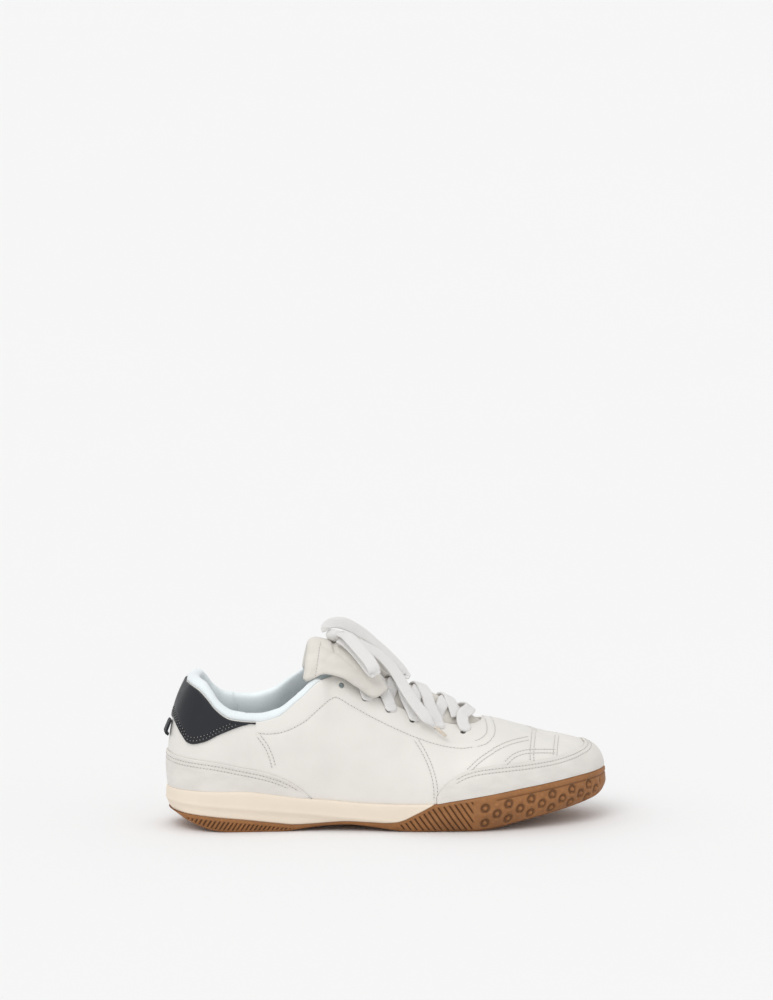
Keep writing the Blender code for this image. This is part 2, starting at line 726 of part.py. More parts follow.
def build_insole(parts):
    ribs = round_ribs()
    inset = RIM_WALL + GAP + UPPER_WALL + 3 * GAP
    rows = []
    for lift, share in ((GAP, 0.0), (GAP, 1.0), (INSOLE_THICKNESS, 1.0), (INSOLE_THICKNESS, 0.0)):
        row = []
        for u in ribs:
            middle = centre_station(u)
            heart = np.array([station_x(middle), centre_y(middle)])
            plan = heart + (feather(u, inset) - heart) * share
            row.append((plan[0], plan[1], stack(FOOT_BED, station_of(plan[0])) + lift))
        rows.append(row)
    make_object("insole", grid_mesh("insole", rows, close_columns=True), parts, COLOURS["insole"])


# Upper and its overlays

def leather_top(u):
    """The share of a rib at which the leather ends below the cuff."""
    rib = abs(u)
    if rib >= RIB_CORNER:
        return 1.0
    return share_below_top(u, CUFF_DEPTH * curve(CUFF_BAND["rib"], CUFF_BAND["drop"], rib))


def build_upper(parts, cutters):
    rows = []
    for k in range(UPPER_ROWS + 1):
        share = k / UPPER_ROWS
        rows.append([tuple(surface(u, share * leather_top(u))) for u in round_ribs()])
    mesh = grid_mesh("upper", rows, close_columns=True)
    face_out(mesh, (BALL_REST / 2, 0, INSTEP_HEIGHT / 2))
    item = thicken(make_object("upper", mesh, parts, COLOURS["upper"]), UPPER_WALL, -1)
    punches = []
    for side in (-1, 1):
        for eyelet in EYELETS:
            u = side * eyelet["rib"]
            share = share_below_top(u, eyelet["inset"])
            out = Vector(normal(u, share))
            place = Matrix.Translation(surface(u, share)) @ out.to_track_quat("Z", "Y").to_matrix().to_4x4()
            punches.append(stud(EYELET_RADIUS, EYELET_RADIUS, 4 * UPPER_WALL, place, PUNCH_SIDES))
    boolean(item, cutter_object("eyelet_punches", punches, cutters), "DIFFERENCE")


def overlay(name, parts, low_u, high_u, low_share, high_share, count, wall):
    """A panel laid on the upper between two edges, each a function of u."""
    ribs = ribs_from(low_u, high_u)
    rows = []
    for k in range(count + 1):
        rows.append([tuple(surface(u, between(low_share(u), high_share(u), k / count), GAP)) for u in ribs])
    mesh = grid_mesh(name, rows)
    face_out(mesh, (BALL_REST / 2, 0, INSTEP_HEIGHT / 2))
    return thicken(make_object(name, mesh, parts, COLOURS[name]), wall, 1)


def above_rim(u):
    return share_at_height(u, rim_height(u) + GAP)


def edge_share(table, u):
    height = INSTEP_HEIGHT * curve(table["rib"], table["height"], abs(u))
    return max(share_at_height(u, height), above_rim(u) + TAPER / rib_length(u))


def build_overlays(parts):
    end = nearest_rib(FOXING_EDGE["rib"][-1])
    overlay("heel_foxing", parts, -end, end, above_rim, lambda u: edge_share(FOXING_EDGE, u), 3, OVERLAY_WALL)
    tab = nearest_rib(TAB_EDGE["rib"][-1])

    def tab_low(u):
        height = INSTEP_HEIGHT * curve(TAB_EDGE["rib"], TAB_EDGE["height"], abs(u))
        return min(share_at_height(u, height), leather_top(u) - TAPER / rib_length(u))

    overlay("heel_tab", parts, -tab, tab, tab_low, leather_top, 4, TAB_WALL)


def build_toe_guard(parts):
    start = nearest_rib(GUARD_EDGE["rib"][0])
    ribs = [u for u in ribs_from(-1, 1) if abs(u) > start + 0.004]
    lateral = [-start] + sorted((u for u in ribs if u < 0), reverse=True)
    medial = sorted((u for u in ribs if 0 < u < 1), reverse=True) + [start]
    path = lateral + medial
    rows = []
    count = 4
    for k in range(count + 1):
        row = []
        for u in path:
            share = between(above_rim(u), edge_share(GUARD_EDGE, u), k / count)
            row.append(tuple(surface(u, share, GAP * (1.5 + 0.5 * ease((0.70 - abs(u)) / 0.08)))))
        rows.append(row)
    mesh = grid_mesh("toe_guard", rows)
    face_out(mesh, (BALL_REST / 2, 0, INSTEP_HEIGHT / 2))
    thicken(make_object("toe_guard", mesh, parts, COLOURS["toe_guard"]), OVERLAY_WALL, 1)


def cuff_section(u):
    """Distance below the top of the cuff and distance off the upper's surface, round one section."""
    drop = CUFF_DEPTH * curve(CUFF_BAND["rib"], CUFF_BAND["drop"], abs(u))
    lip = max(drop - GAP, TAPER)
    inside = -(UPPER_WALL + GAP)
    slim = between(1.0, 0.40, ease((abs(u) - 0.31) / 0.07))
    pad = CUFF_PAD * slim
    deep = CUFF_DEPTH * between(1.0, 0.7, ease((abs(u) - 0.33) / 0.07))
    return [
        (lip, 0.0),
        (0.55 * lip, 0.0005),
        (0.10 * lip, 0.0),
        (-0.0016, inside * 0.6),
        (-0.0022, inside - 0.35 * pad),
        (-0.0006, inside - 0.80 * pad),
        (0.25 * deep, inside - pad),
        (0.60 * deep, inside - 0.85 * pad),
        (0.90 * deep, inside - 0.40 * pad),
        (deep, inside - GAP),
        (0.60 * deep, inside - GAP),
        (lip, inside - GAP),
    ]


def build_cuff(parts):
    rows = []
    for u in ribs_from(-CUFF_END, CUFF_END):
        rows.append([tuple(surface(u, share_below_top(u, drop), off)) for drop, off in cuff_section(u)])
    mesh = grid_mesh("collar_cuff", rows, close_columns=True, caps=True)
    make_object("collar_cuff", mesh, parts, COLOURS["collar_cuff"])


def ribbon_mesh(name, points, normals, width, thickness):
    """A flat band along points, whose flat side faces normals."""
    points = [np.asarray(p, float) for p in points]
    section = [(-width / 2, -thickness / 2), (width / 2, -thickness / 2), (width / 2, thickness / 2),
               (-width / 2, thickness / 2)]
    rows = []
    for i, point in enumerate(points):
        run = points[min(i + 1, len(points) - 1)] - points[max(i - 1, 0)]
        across = np.cross(run, normals[i])
        across /= np.linalg.norm(across)
        out = np.cross(across, run)
        out /= np.linalg.norm(out)
        rows.append([tuple(point + across * a + out * b) for a, b in section])
    return grid_mesh(name, rows, close_columns=True, caps=True)


def build_pull_loop(parts):
    start, end = (share_at_height(0.0, share * INSTEP_HEIGHT) for share in LOOP_ENDS)
    rest = GAP + LOOP_THICKNESS / 2
    points, normals = [], []
    for k in range(9):
        share = between(start, end, k / 8)
        stand = rest + LOOP_STAND_OFF * math.sin(math.pi * k / 8) ** 0.6
        points.append(surface(0.0, share, stand))
        normals.append(normal(0.0, share))
    mesh = ribbon_mesh("pull_loop", points, normals, LOOP_WIDTH, LOOP_THICKNESS)
    make_object("pull_loop", mesh, parts, COLOURS["pull_loop"])


# Tongue

def leaf_offset(rib):
    """How deep the leaf lies below the upper's surface. It dips behind the ends of the cuff."""
    dip = CUFF_PAD * 0.6 * ease((0.455 - rib) / 0.04) + VAMP_ROOM * ease((rib - 0.56) / 0.06)
    return -(UPPER_WALL + 2.5 * GAP + TONGUE_THICKNESS / 2 + dip)


def leaf_point(rib, across):
    """The middle of the tongue's lower leaf. across runs from -1 to 1, and past 0.7 it lies under the eyestays."""
    arch = 0.7
    offset = leaf_offset(rib)
    if abs(across) >= arch:
        u = math.copysign(rib, across)
        tuck = TONGUE_TUCK * (abs(across) - arch) / (1 - arch) * between(1.0, 0.4, ease((0.455 - rib) / 0.04))
        return surface(u, share_below_top(u, tuck), offset)
    ends, arrives = [], []
    for side in (-1, 1):
        u = side * rib
        ends.append(surface(u, 1 + TONGUE_RUN_IN / rib_length(u), offset))
        run = rib_point(u, 1.0) - rib_point(u, 0.97)
        arrives.append(run / np.linalg.norm(run))
    rise = INSTEP_HEIGHT * curve(TONGUE_RISE["rib"], TONGUE_RISE["rise"], rib)
    handle = 0.42 * np.linalg.norm(ends[1] - ends[0])
    t = (across / arch + 1) / 2
    first, second = (end + arrive * handle for end, arrive in zip(ends, arrives))
    for control, arrive in zip((first, second), arrives):
        control[2] += rise / 0.75 - arrive[2] * handle
    return ends[0] * (1 - t) ** 3 + first * 3 * t * (1 - t) ** 2 + second * 3 * t * t * (1 - t) + ends[1] * t ** 3


def tongue_rows():
    across = [-1 + k / 5 for k in range(11)]
    lower = [leaf_row(rib, across) for rib in np.linspace(TONGUE_ENDS, RIB_CORNER, 8)]
    lower = [[point + np.array(TONGUE_TIP) for point in lower[0]]] + lower
    flap = [flap_row(row, across) for row in FLAP]
    fold = []
    for k in range(1, 5):
        t = k / 5
        row = []
        for before, a, b, after in zip(lower[-2], lower[-1], flap[0], flap[1]):
            first = a + (a - before) / np.linalg.norm(a - before) * FLAP_REACH / 0.75
            second = b + (b - after) / np.linalg.norm(b - after) * FLAP_REACH / 0.75
            row.append(a * (1 - t) ** 3 + first * 3 * t * (1 - t) ** 2 + second * 3 * t * t * (1 - t) + b * t ** 3)
        fold.append(row)
    return [[tuple(p) for p in row] for row in lower + fold + flap]


def leaf_row(rib, across):
    """The lower leaf narrows behind the eyestays to pass between the ends of the cuff."""
    wide = between(1.0, 0.62, ease((0.475 - rib) / 0.05))
    return [leaf_point(rib, a * wide) for a in across]


def flap_row(row, across):
    """One section of the flap, from its lateral side over its crest."""
    points = []
    for a in across:
        turn = math.pi / 2 * a
        station = between(row["crest"], row["edge"], a * a) + FLAP_SKEW * a
        height = between(row["edge_height"], row["crest_height"], math.cos(turn))
        side = BALL_WIDTH * row["half"] * math.sin(turn)
        points.append(np.array([station_x(station), centre_y(station) + side, INSTEP_HEIGHT * height]))
    return points


def build_tongue(parts):
    mesh = grid_mesh("tongue", tongue_rows())
    face_out_flap(mesh)
    thicken(make_object("tongue", mesh, parts, COLOURS["tongue"]), TONGUE_THICKNESS, 0)


def face_out_flap(mesh):
    highest = max(mesh.polygons, key=lambda face: face.center.z)
    if highest.normal.z < 0:
        mesh.flip_normals()


# Laces

def tongue_top(rib, across, lift):
    """A point above the tongue's lower leaf, and the direction out of it."""
    here = leaf_point(rib, across)
    out = np.cross(leaf_point(rib + 0.01, across) - leaf_point(rib - 0.01, across),
                   leaf_point(rib, across + 0.05) - leaf_point(rib, across - 0.05))
    out *= math.copysign(1 / np.linalg.norm(out), out[2])
    return here + out * (TONGUE_THICKNESS / 2 + lift), out


def over_eyestay(side, eyelet, clear=0.0):
    """From an eyelet to the edge of the eyestay, just above the leather."""
    path = []
    u = side * eyelet["rib"]
    for share_of_inset, lift in ((1.0, GAP + clear), (0.5, 2 * GAP + clear), (0.0, 3 * GAP + clear)):
        share = share_below_top(u, share_of_inset * eyelet["inset"])
        path.append((surface(u, share, lift + LACE_THICKNESS / 2), normal(u, share)))
    return path


def crossing_path(start, side, end, from_eyelet):
    """Out of an eyelet, over the tongue and to the far edge of the throat, where the lace dives in."""
    base, layer = 3 * GAP + LACE_THICKNESS / 2, LACE_THICKNESS + GAP
    path = over_eyestay(side, start) if from_eyelet else []
    for k in range(6):
        move = k / 5
        across = side * between(0.50, -0.54, move)
        rib = between(start["rib"], end["rib"], between(0.20, 0.86, move))
        above = layer * (1 - ease(move / 0.4)) if from_eyelet else 0.0
        path.append(tongue_top(rib, across, base + above))
    return path


def lace_mesh(name, path):
    normals = [n for _, n in path]
    smooth = [before + 2 * here + after
              for before, here, after in zip(normals[:1] + normals, normals, normals[1:] + normals[-1:])]
    return ribbon_mesh(name, [p for p, _ in path], smooth, LACE_WIDTH, LACE_THICKNESS)


def build_crossings(parts, cutters):
    last = len(EYELETS) - 1
    for i in range(last):
        name = f"lace_crossing_{i + 1}"
        strands = [crossing_path(EYELETS[i + 1], side, EYELETS[i], i + 1 < last) for side in (-1, 1)]
        item = make_object(name, lace_mesh(name, strands[0]), parts, COLOURS["lace"])
        other = cutter_object(name + "_other", [lace_mesh(name, strands[1])], cutters)
        boolean(item, other, "UNION")
    rib = EYELETS[-1]["rib"]
    arch = []
    for k in range(5):
        across = between(-BAR_REACH, BAR_REACH, k / 4)
        bowed = rib + BAR_BOW * (1 - (across / BAR_REACH) ** 2)
        arch.append(tongue_top(bowed, across, 2 * LACE_THICKNESS + 4 * GAP))
    path = over_eyestay(-1, EYELETS[-1], GAP) + arch + over_eyestay(1, EYELETS[-1], GAP)[::-1]
    make_object("lace_bar", lace_mesh("lace_bar", path), parts, COLOURS["lace"])


# The bow. Its nodes are free cords, and their routes are in millimetres from the back of the heel.

BOW = {
    "lace_loop_near": [(113.0, -6.0, 125.9), (118, -13, 125), (124.5, -22, 118.3), (130, -28.5, 112),
                       (132.5, -31.5, 108), (133.5, -30, 104.5), (131, -26.5, 106.3), (125, -18.5, 113.6),
                       (119.5, -12, 118.8), (112.4, -7.6, 121.8)],
    "lace_loop_far": [(105.6, 3, 126.2), (105, 3, 129), (110, 4, 131.4), (118.5, 5.5, 130), (129, 7.5, 123.8),
                      (139, 9, 116), (149, 8.5, 107), (156, 7, 99.5), (158, 6, 95), (154, 6, 96.5),
                      (147, 7, 103), (137, 8, 111.9), (127, 7, 119.5), (116.4, 6.0, 124.6)],
    "lace_end_near": [(115.9, -0.6, 122.9), (123, -2.8, 120.5), (132, -5, 116), (141, -8, 110), (149, -13, 101),
                      (155, -18, 91), (162, -22.5, 80.5), (171, -26.5, 69.5), (181, -29, 60.5)],
    "lace_end_far": [(111.8, 9.2, 122.6), (118, 16, 119.5), (125, 21.5, 115), (133, 25.5, 109.5), (141, 28.5, 101.5),
                     (149, 31, 92), (157, 33, 82), (165, 34, 72.5), (174, 34, 64.5)],
}
KNOT = {"centre": (110.5, 1.5, 123.6), "half": (5.0, 7.0, 3.6)}
KNOT_SIDES = {"round": 8, "up": 5}
MILLIMETRE = 0.001
# The flat side of the lace faces up and forward, and tilts outward by its distance from the middle over this length
FACING_FORWARD = 0.35
FACING_TILT = 30


def build_bow(parts):
    back_of_heel = np.array([HEEL_REST, 0.0, 0.0])
    for name, route in BOW.items():
        points, normals = [], []
        for point in route:
            points.append(np.array(point) * MILLIMETRE - back_of_heel)
            normals.append(np.array([FACING_FORWARD, point[1] / FACING_TILT, 1.0]))
        make_object(name, ribbon_mesh(name, points, normals, LACE_WIDTH, LACE_THICKNESS), parts, COLOURS["lace"])
    centre = Vector(np.array(KNOT["centre"]) * MILLIMETRE - back_of_heel)
    work = bmesh.new()
    place = Matrix.Translation(centre) @ Matrix.Diagonal((*(v * MILLIMETRE for v in KNOT["half"]), 1))
    bmesh.ops.create_uvsphere(work, u_segments=KNOT_SIDES["round"], v_segments=KNOT_SIDES["up"], radius=1,
                              matrix=place)
    mesh = bpy.data.meshes.new("lace_knot")
    work.to_mesh(mesh)
    work.free()
    make_object("lace_knot", mesh, parts, COLOURS["lace"])


def main():
    for item in list(bpy.data.objects):
        bpy.data.objects.remove(item, do_unlink=True)
    parts = bpy.data.collections.new("indoor_soccer_shoe")
    cutters = bpy.data.collections.new("cutters")
    for collection in (parts, cutters):
        bpy.context.scene.collection.children.link(collection)
    build_sole(parts, cutters)
    build_insole(parts)
    build_upper(parts, cutters)
    build_overlays(parts)
    build_toe_guard(parts)
    build_cuff(parts)
    build_pull_loop(parts)
    build_tongue(parts)
    build_crossings(parts, cutters)
    build_bow(parts)


main()
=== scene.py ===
import math
import random

import bmesh
import bpy
import numpy as np
from bpy.props import FloatProperty, FloatVectorProperty, PointerProperty
from mathutils import Matrix, Vector
from mathutils.bvhtree import BVHTree
from mathutils.kdtree import KDTree


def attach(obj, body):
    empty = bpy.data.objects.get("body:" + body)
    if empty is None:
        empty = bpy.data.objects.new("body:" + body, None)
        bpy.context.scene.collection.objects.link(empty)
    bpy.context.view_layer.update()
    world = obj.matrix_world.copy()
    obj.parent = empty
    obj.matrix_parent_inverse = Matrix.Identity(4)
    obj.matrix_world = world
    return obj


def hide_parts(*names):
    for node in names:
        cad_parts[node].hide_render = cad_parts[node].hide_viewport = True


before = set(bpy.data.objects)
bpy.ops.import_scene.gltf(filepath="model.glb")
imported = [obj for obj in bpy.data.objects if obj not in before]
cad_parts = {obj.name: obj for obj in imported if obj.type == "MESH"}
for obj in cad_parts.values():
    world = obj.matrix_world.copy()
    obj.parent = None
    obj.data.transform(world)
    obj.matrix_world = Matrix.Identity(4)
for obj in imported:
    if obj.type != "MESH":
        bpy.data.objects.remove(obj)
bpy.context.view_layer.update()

bl_info = {
    "name": "Indoor soccer shoe",
    "version": (1, 0, 0),
    "blender": (4, 5, 0),
    "location": "3D View > Sidebar > Shoe",
    "description": "Builds the finished surfaces of an indoor soccer shoe round its CAD model",
    "category": "Add Mesh",
}

# The forms' sizes, in metres, as in the part's own source
SOLE_LENGTH = 0.290
BALL_WIDTH = 0.1015
HEEL_HEIGHT = 0.0995
QUARTER_HEIGHT = 0.0768
INSTEP_HEIGHT = 0.1008
VAMP_HEIGHT = 0.0662
TOE_HEIGHT = 0.0568
STACK_HEIGHT = 0.0270
TOE_SPRING = 0.0128
TOE_SWING = 0.0080
MEDIAL_RISE = 0.0035
HEEL_REST = 0.0550
BALL_REST = 0.1780
GAP = 0.0003
RIM_WALL = 0.0028
UPPER_WALL = 0.0020
OVERLAY_WALL = 0.0011
TAB_WALL = 0.0014
INSOLE_THICKNESS = 0.0040
CUFF_DEPTH = 0.0240
CUFF_PAD = 0.0062
TONGUE_THICKNESS = 0.0046
TONGUE_TUCK = 0.0110
TONGUE_RUN_IN = 0.0026
FLAP_REACH = 0.0082
FLAP_SKEW = 0.009
VAMP_ROOM = 0.0002
EYELET_RADIUS = 0.0018
LOOP_WIDTH = 0.0100
LOOP_THICKNESS = 0.0012
LOOP_STAND_OFF = 0.0019
LUG_PITCH = 0.0106
LUG_GROOVE = 0.0024
LUG_DEPTH = 0.0016
LUG_MARGIN = 0.0090
MILLIMETRE = 0.001

# How finely the pieces are cut
NET_ROWS = 160
UPPER_ROWS = 84
LINING_ROWS = 22
RIB_STEPS = 240
RIB_STEP = 0.0011
SOLE_STEP = 0.00062
# Over how many ribs, and how often, the leather below the corner of the opening is evened out
EASED_REACH = 0.045
EASED_ROUNDS = 70

# The photo's frame and how it is looked at
PHOTO_WIDTH = 773
PHOTO_HEIGHT = 1000
METRES_PER_PIXEL = 0.0006543
CAMERA_TURN = math.radians(-6)
CAMERA_RISE = math.radians(10)
CAMERA_LENS = 600.0
CAMERA_SENSOR = 36.0
AIM_RIGHT = 0.1439
AIM_UP = 0.2123


def between(low, high, share):
    return low + (high - low) * share


def rows(names, *lines):
    """A table's columns by their names, from its lines of values."""
    return dict(zip(names.split(), zip(*lines)))


# Half widths of the sole from its centre line, as shares of the ball width
OUTLINE = {
    "station": (0.000, 0.124, 0.207, 0.310, 0.400, 0.500, 0.600, 0.700, 1.000),
    "lateral": (0.335, 0.335, 0.340, 0.343, 0.372, 0.442, 0.511, 0.552, 0.552),
    "medial": (0.330, 0.325, 0.318, 0.290, 0.278, 0.339, 0.413, 0.448, 0.448),
}
HEEL_CAP = {"share": 0.130, "power": 2.0}
TOE_CAP = {"share": 0.300, "lateral": 1.85, "medial": 2.15}
SWING_STARTS = 0.35

# The opening's edge and then the ridge of the vamp, a row for each rib
# rib: 0 at the back of the heel, 1 at the tip of the toe; top: station of the upper end
# angle: how steeply the rib arrives; reach, lift: lengths of its two handles; swell: outward bulge
TOP = rows(
    "rib top height gap angle reach lift swell",
    (0.000, 0.0535, HEEL_HEIGHT, 0.000, 60, 0.32, 0.40, 0.055),
    (0.060, 0.059, between(QUARTER_HEIGHT, HEEL_HEIGHT, 0.98), 0.108, 61, 0.32, 0.40, 0.050),
    (0.119, 0.074, between(QUARTER_HEIGHT, HEEL_HEIGHT, 0.87), 0.192, 66, 0.31, 0.40, 0.044),
    (0.150, 0.090, between(QUARTER_HEIGHT, HEEL_HEIGHT, 0.64), 0.230, 70, 0.30, 0.40, 0.038),
    (0.180, 0.107, between(QUARTER_HEIGHT, HEEL_HEIGHT, 0.35), 0.256, 74, 0.30, 0.40, 0.033),
    (0.229, 0.141, between(QUARTER_HEIGHT, HEEL_HEIGHT, 0.07), 0.279, 77, 0.30, 0.40, 0.028),
    (0.287, 0.197, QUARTER_HEIGHT, 0.286, 77, 0.30, 0.40, 0.022),
    (0.327, 0.241, between(QUARTER_HEIGHT, INSTEP_HEIGHT, 0.11), 0.283, 75, 0.30, 0.38, 0.020),
    (0.367, 0.293, between(QUARTER_HEIGHT, INSTEP_HEIGHT, 0.57), 0.272, 70, 0.30, 0.37, 0.020),
    (0.402, 0.341, between(QUARTER_HEIGHT, INSTEP_HEIGHT, 0.97), 0.241, 65, 0.32, 0.36, 0.020),
    (0.418, 0.369, INSTEP_HEIGHT, 0.200, 62, 0.33, 0.36, 0.020),
    (0.470, 0.452, between(VAMP_HEIGHT, INSTEP_HEIGHT, 0.64), 0.193, 57, 0.36, 0.38, 0.022),
    (0.526, 0.541, between(VAMP_HEIGHT, INSTEP_HEIGHT, 0.27), 0.187, 50, 0.40, 0.42, 0.025),
    (0.564, 0.600, between(VAMP_HEIGHT, INSTEP_HEIGHT, 0.09), 0.177, 42, 0.44, 0.46, 0.028),
    (0.600, 0.655, between(VAMP_HEIGHT, INSTEP_HEIGHT, -0.03), 0.153, 30, 0.48, 0.50, 0.030),
    (0.631, 0.693, between(VAMP_HEIGHT, INSTEP_HEIGHT, -0.04), 0.108, 16, 0.50, 0.54, 0.030),
    (0.650, 0.712, between(VAMP_HEIGHT, INSTEP_HEIGHT, -0.02), 0.049, 6, 0.52, 0.57, 0.030),
    (0.660, 0.718, VAMP_HEIGHT, 0.000, 0, 0.53, 0.58, 0.030),
    (0.699, 0.742, between(TOE_HEIGHT, VAMP_HEIGHT, 0.88), 0.000, 0, 0.55, 0.62, 0.030),
    (0.758, 0.783, between(TOE_HEIGHT, VAMP_HEIGHT, 0.53), 0.000, 0, 0.57, 0.66, 0.032),
    (0.831, 0.821, between(TOE_HEIGHT, VAMP_HEIGHT, 0.19), 0.000, 0, 0.60, 0.70, 0.034),
    (0.881, 0.836, between(TOE_HEIGHT, VAMP_HEIGHT, 0.06), 0.000, 0, 0.61, 0.73, 0.035),
    (1.000, 0.845, TOE_HEIGHT, 0.000, 0, 0.62, 0.75, 0.035))
RIB_CORNER = 0.418
RIB_THROAT = 0.660

# Heights along the sole, as shares of the heel stack
UNDERSIDE = {
    "station": (-0.01, 0.000, 0.017, 0.038, 0.069, 0.090, 0.112, 0.138, 0.248, 0.297, 0.352, 0.397, 0.445,
                0.479, 0.515, 0.560, 0.690),
    "height": (0.50, 0.455, 0.390, 0.265, 0.130, 0.063, 0.020, 0.000, 0.000, 0.067, 0.137, 0.163, 0.126,
               0.075, 0.022, 0.000, 0.000),
}
SPRING = {
    "station": (0.690, 0.735, 0.779, 0.824, 0.872, 0.917, 0.960, 1.000),
    "height": (0.00, 0.14, 0.35, 0.53, 0.70, 0.86, 0.98, 1.06),
}
SPLIT = {
    "station": (-0.05, 0.034, 0.066, 0.155, 0.235, 0.280, 0.310, 0.355, 0.397, 0.445, 0.480, 0.503, 0.524,
                0.545, 0.567, 0.590),
    "height": (0.50, 0.419, 0.400, 0.315, 0.215, 0.167, 0.175, 0.211, 0.240, 0.226, 0.220, 0.244, 0.311,
               0.430, 0.556, 0.700),
}
RIM = {
    "station": (0.000, 0.066, 0.159, 0.250, 0.297, 0.379, 0.424, 0.513, 0.596, 0.624, 0.692, 0.738, 0.785,
                0.831, 0.879, 0.929, 1.000),
    "height": (1.000, 1.011, 1.007, 0.889, 0.819, 0.748, 0.704, 0.685, 0.707, 0.759, 0.878, 0.948, 1.022,
               1.078, 1.133, 1.185, 1.222),
}
FOOT_BED = {
    "station": (0.000, 0.172, 0.379, 0.517, 0.655, 0.759, 0.862, 1.000),
    "height": (0.741, 0.741, 0.519, 0.370, 0.389, 0.481, 0.611, 0.778),
}
SIDE = rows("rise heel toe", (0.00, 1.10, 2.90), (0.09, 0.45, 1.70), (0.28, 0.10, 0.60), (0.54, 0.00, 0.00),
            (0.70, 0.00, 0.10), (0.92, 0.10, 0.15), (1.00, 0.45, 0.60))

# Edges of the cuff and of the overlays
CUFF_BAND = {
    "rib": (0.000, 0.119, 0.200, 0.300, 0.370, 0.400, 0.418),
    "drop": (0.200, 0.190, 0.185, 0.185, 0.150, 0.090, 0.030),
}
CUFF_END = 0.406
TAB_EDGE = {
    "rib": (0.000, 0.060, 0.100, 0.122, 0.135, 0.165, 0.200, 0.230, 0.262, 0.283),
    "height": (0.735, 0.685, 0.620, 0.580, 0.573, 0.590, 0.637, 0.670, 0.702, 0.722),
}
FOXING_EDGE = {
    "rib": (0.000, 0.090, 0.167, 0.209, 0.250, 0.289, 0.317, 0.343, 0.361, 0.374, 0.382),
    "height": (0.500, 0.486, 0.473, 0.460, 0.435, 0.407, 0.379, 0.337, 0.292, 0.245, 0.210),
}
GUARD_EDGE = {
    "rib": (0.560, 0.572, 0.590, 0.610, 0.632, 0.662, 0.700, 0.760, 0.830, 0.900, 1.000),
    "height": (0.230, 0.300, 0.360, 0.397, 0.415, 0.427, 0.433, 0.441, 0.456, 0.472, 0.490),
}
TAPER = 0.0012

TONGUE_RISE = {
    "rib": (0.400, 0.470, 0.526, 0.560, 0.588, 0.612, 0.640, 0.657),
    "rise": (0.065, 0.086, 0.142, 0.152, 0.132, 0.098, 0.040, 0.006),
}
TONGUE_ENDS = 0.657
TONGUE_TIP = (0.0070, 0.0, -0.0030)
FLAP = rows(
    "crest crest_height edge edge_height half",
    (0.348, 1.190, 0.330, 0.985, 0.246),
    (0.376, 1.166, 0.359, 1.020, 0.256),
    (0.402, 1.131, 0.393, 1.000, 0.266),
    (0.428, 1.092, 0.431, 0.932, 0.272),
    (0.452, 1.055, 0.472, 0.858, 0.258),
    (0.472, 1.026, 0.506, 0.902, 0.200))
FLAP_LINES = len(FLAP["crest"])
EYELETS = [dict(rib=rib, inset=inset) for rib, inset in (
    (0.430, 0.0056), (0.463, 0.0056), (0.497, 0.0056), (0.531, 0.0058), (0.567, 0.0064), (0.608, 0.0082))]

# The bow's routes, in millimetres from the back of the heel, as in the part's own source
BOW = {
    "lace_loop_near": [(113.0, -6.0, 125.9), (118, -13, 125), (124.5, -22, 118.3), (130, -28.5, 112),
                       (132.5, -31.5, 108), (133.5, -30, 104.5), (131, -26.5, 106.3), (125, -18.5, 113.6),
                       (119.5, -12, 118.8), (112.4, -7.6, 121.8)],
    "lace_loop_far": [(105.6, 3, 126.2), (105, 3, 129), (110, 4, 131.4), (118.5, 5.5, 130), (129, 7.5, 123.8),
                      (139, 9, 116), (149, 8.5, 107), (156, 7, 99.5), (158, 6, 95), (154, 6, 96.5),
                      (147, 7, 103), (137, 8, 111.9), (127, 7, 119.5), (116.4, 6.0, 124.6)],
    "lace_end_near": [(115.9, -0.6, 122.9), (123, -2.8, 120.5), (132, -5, 116), (141, -8, 110),
                      (149, -13, 101), (155, -18, 91), (162, -22.5, 80.5), (171, -26.5, 69.5),
                      (181, -29, 60.5)],
    "lace_end_far": [(111.8, 9.2, 122.6), (118, 16, 119.5), (125, 21.5, 115), (133, 25.5, 109.5),
                     (141, 28.5, 101.5), (149, 31, 92), (157, 33, 82), (165, 34, 72.5), (174, 34, 64.5)],
}
# Which way each cord's flat side faces, at places along it
BOW_FACING = {
    "lace_loop_near": dict(place=(0, 0.12, 0.42, 0.55, 0.62, 0.88, 1),
                           way=((0.2, -0.5, 1), (0.1, -1, 0.6), (0.1, -1, 0.3), (0.1, -1, 0.1),
                                (0.1, -1, 0.2), (0.2, -1, 0.5), (0.2, -0.5, 1))),
    "lace_loop_far": dict(place=(0, 0.10, 0.22, 0.34, 0.5, 1),
                          way=((-0.3, -1, 0.2), (-0.1, -1, 0.3), (0.1, -1, 0.7), (0.3, -0.6, 1),
                               (0.35, -0.3, 1), (0.35, 0.1, 1))),
    "lace_end_near": dict(place=(0, 0.25, 0.6, 1),
                          way=((0.3, -0.3, 1), (0.4, -0.8, 0.9), (0.4, -1, 0.5), (0.4, -1, 0.5))),
    "lace_end_far": dict(place=(0, 0.4, 1), way=((0.35, 0.3, 1), (0.35, 0.8, 0.9), (0.35, 1.1, 0.8))),
}
KNOT = {"centre": (110.5, 1.5, 123.6), "half": (5.0, 7.0, 3.6)}


# What a user may change

def length(label, text, default, low, high):
    return FloatProperty(name=label, description=text, default=default, min=low, max=high, unit="LENGTH",
                         subtype="DISTANCE")


def tone(label, text, *default):
    return FloatVectorProperty(name=label, description=text, default=default, min=0, max=1, subtype="COLOR",
                               size=3)


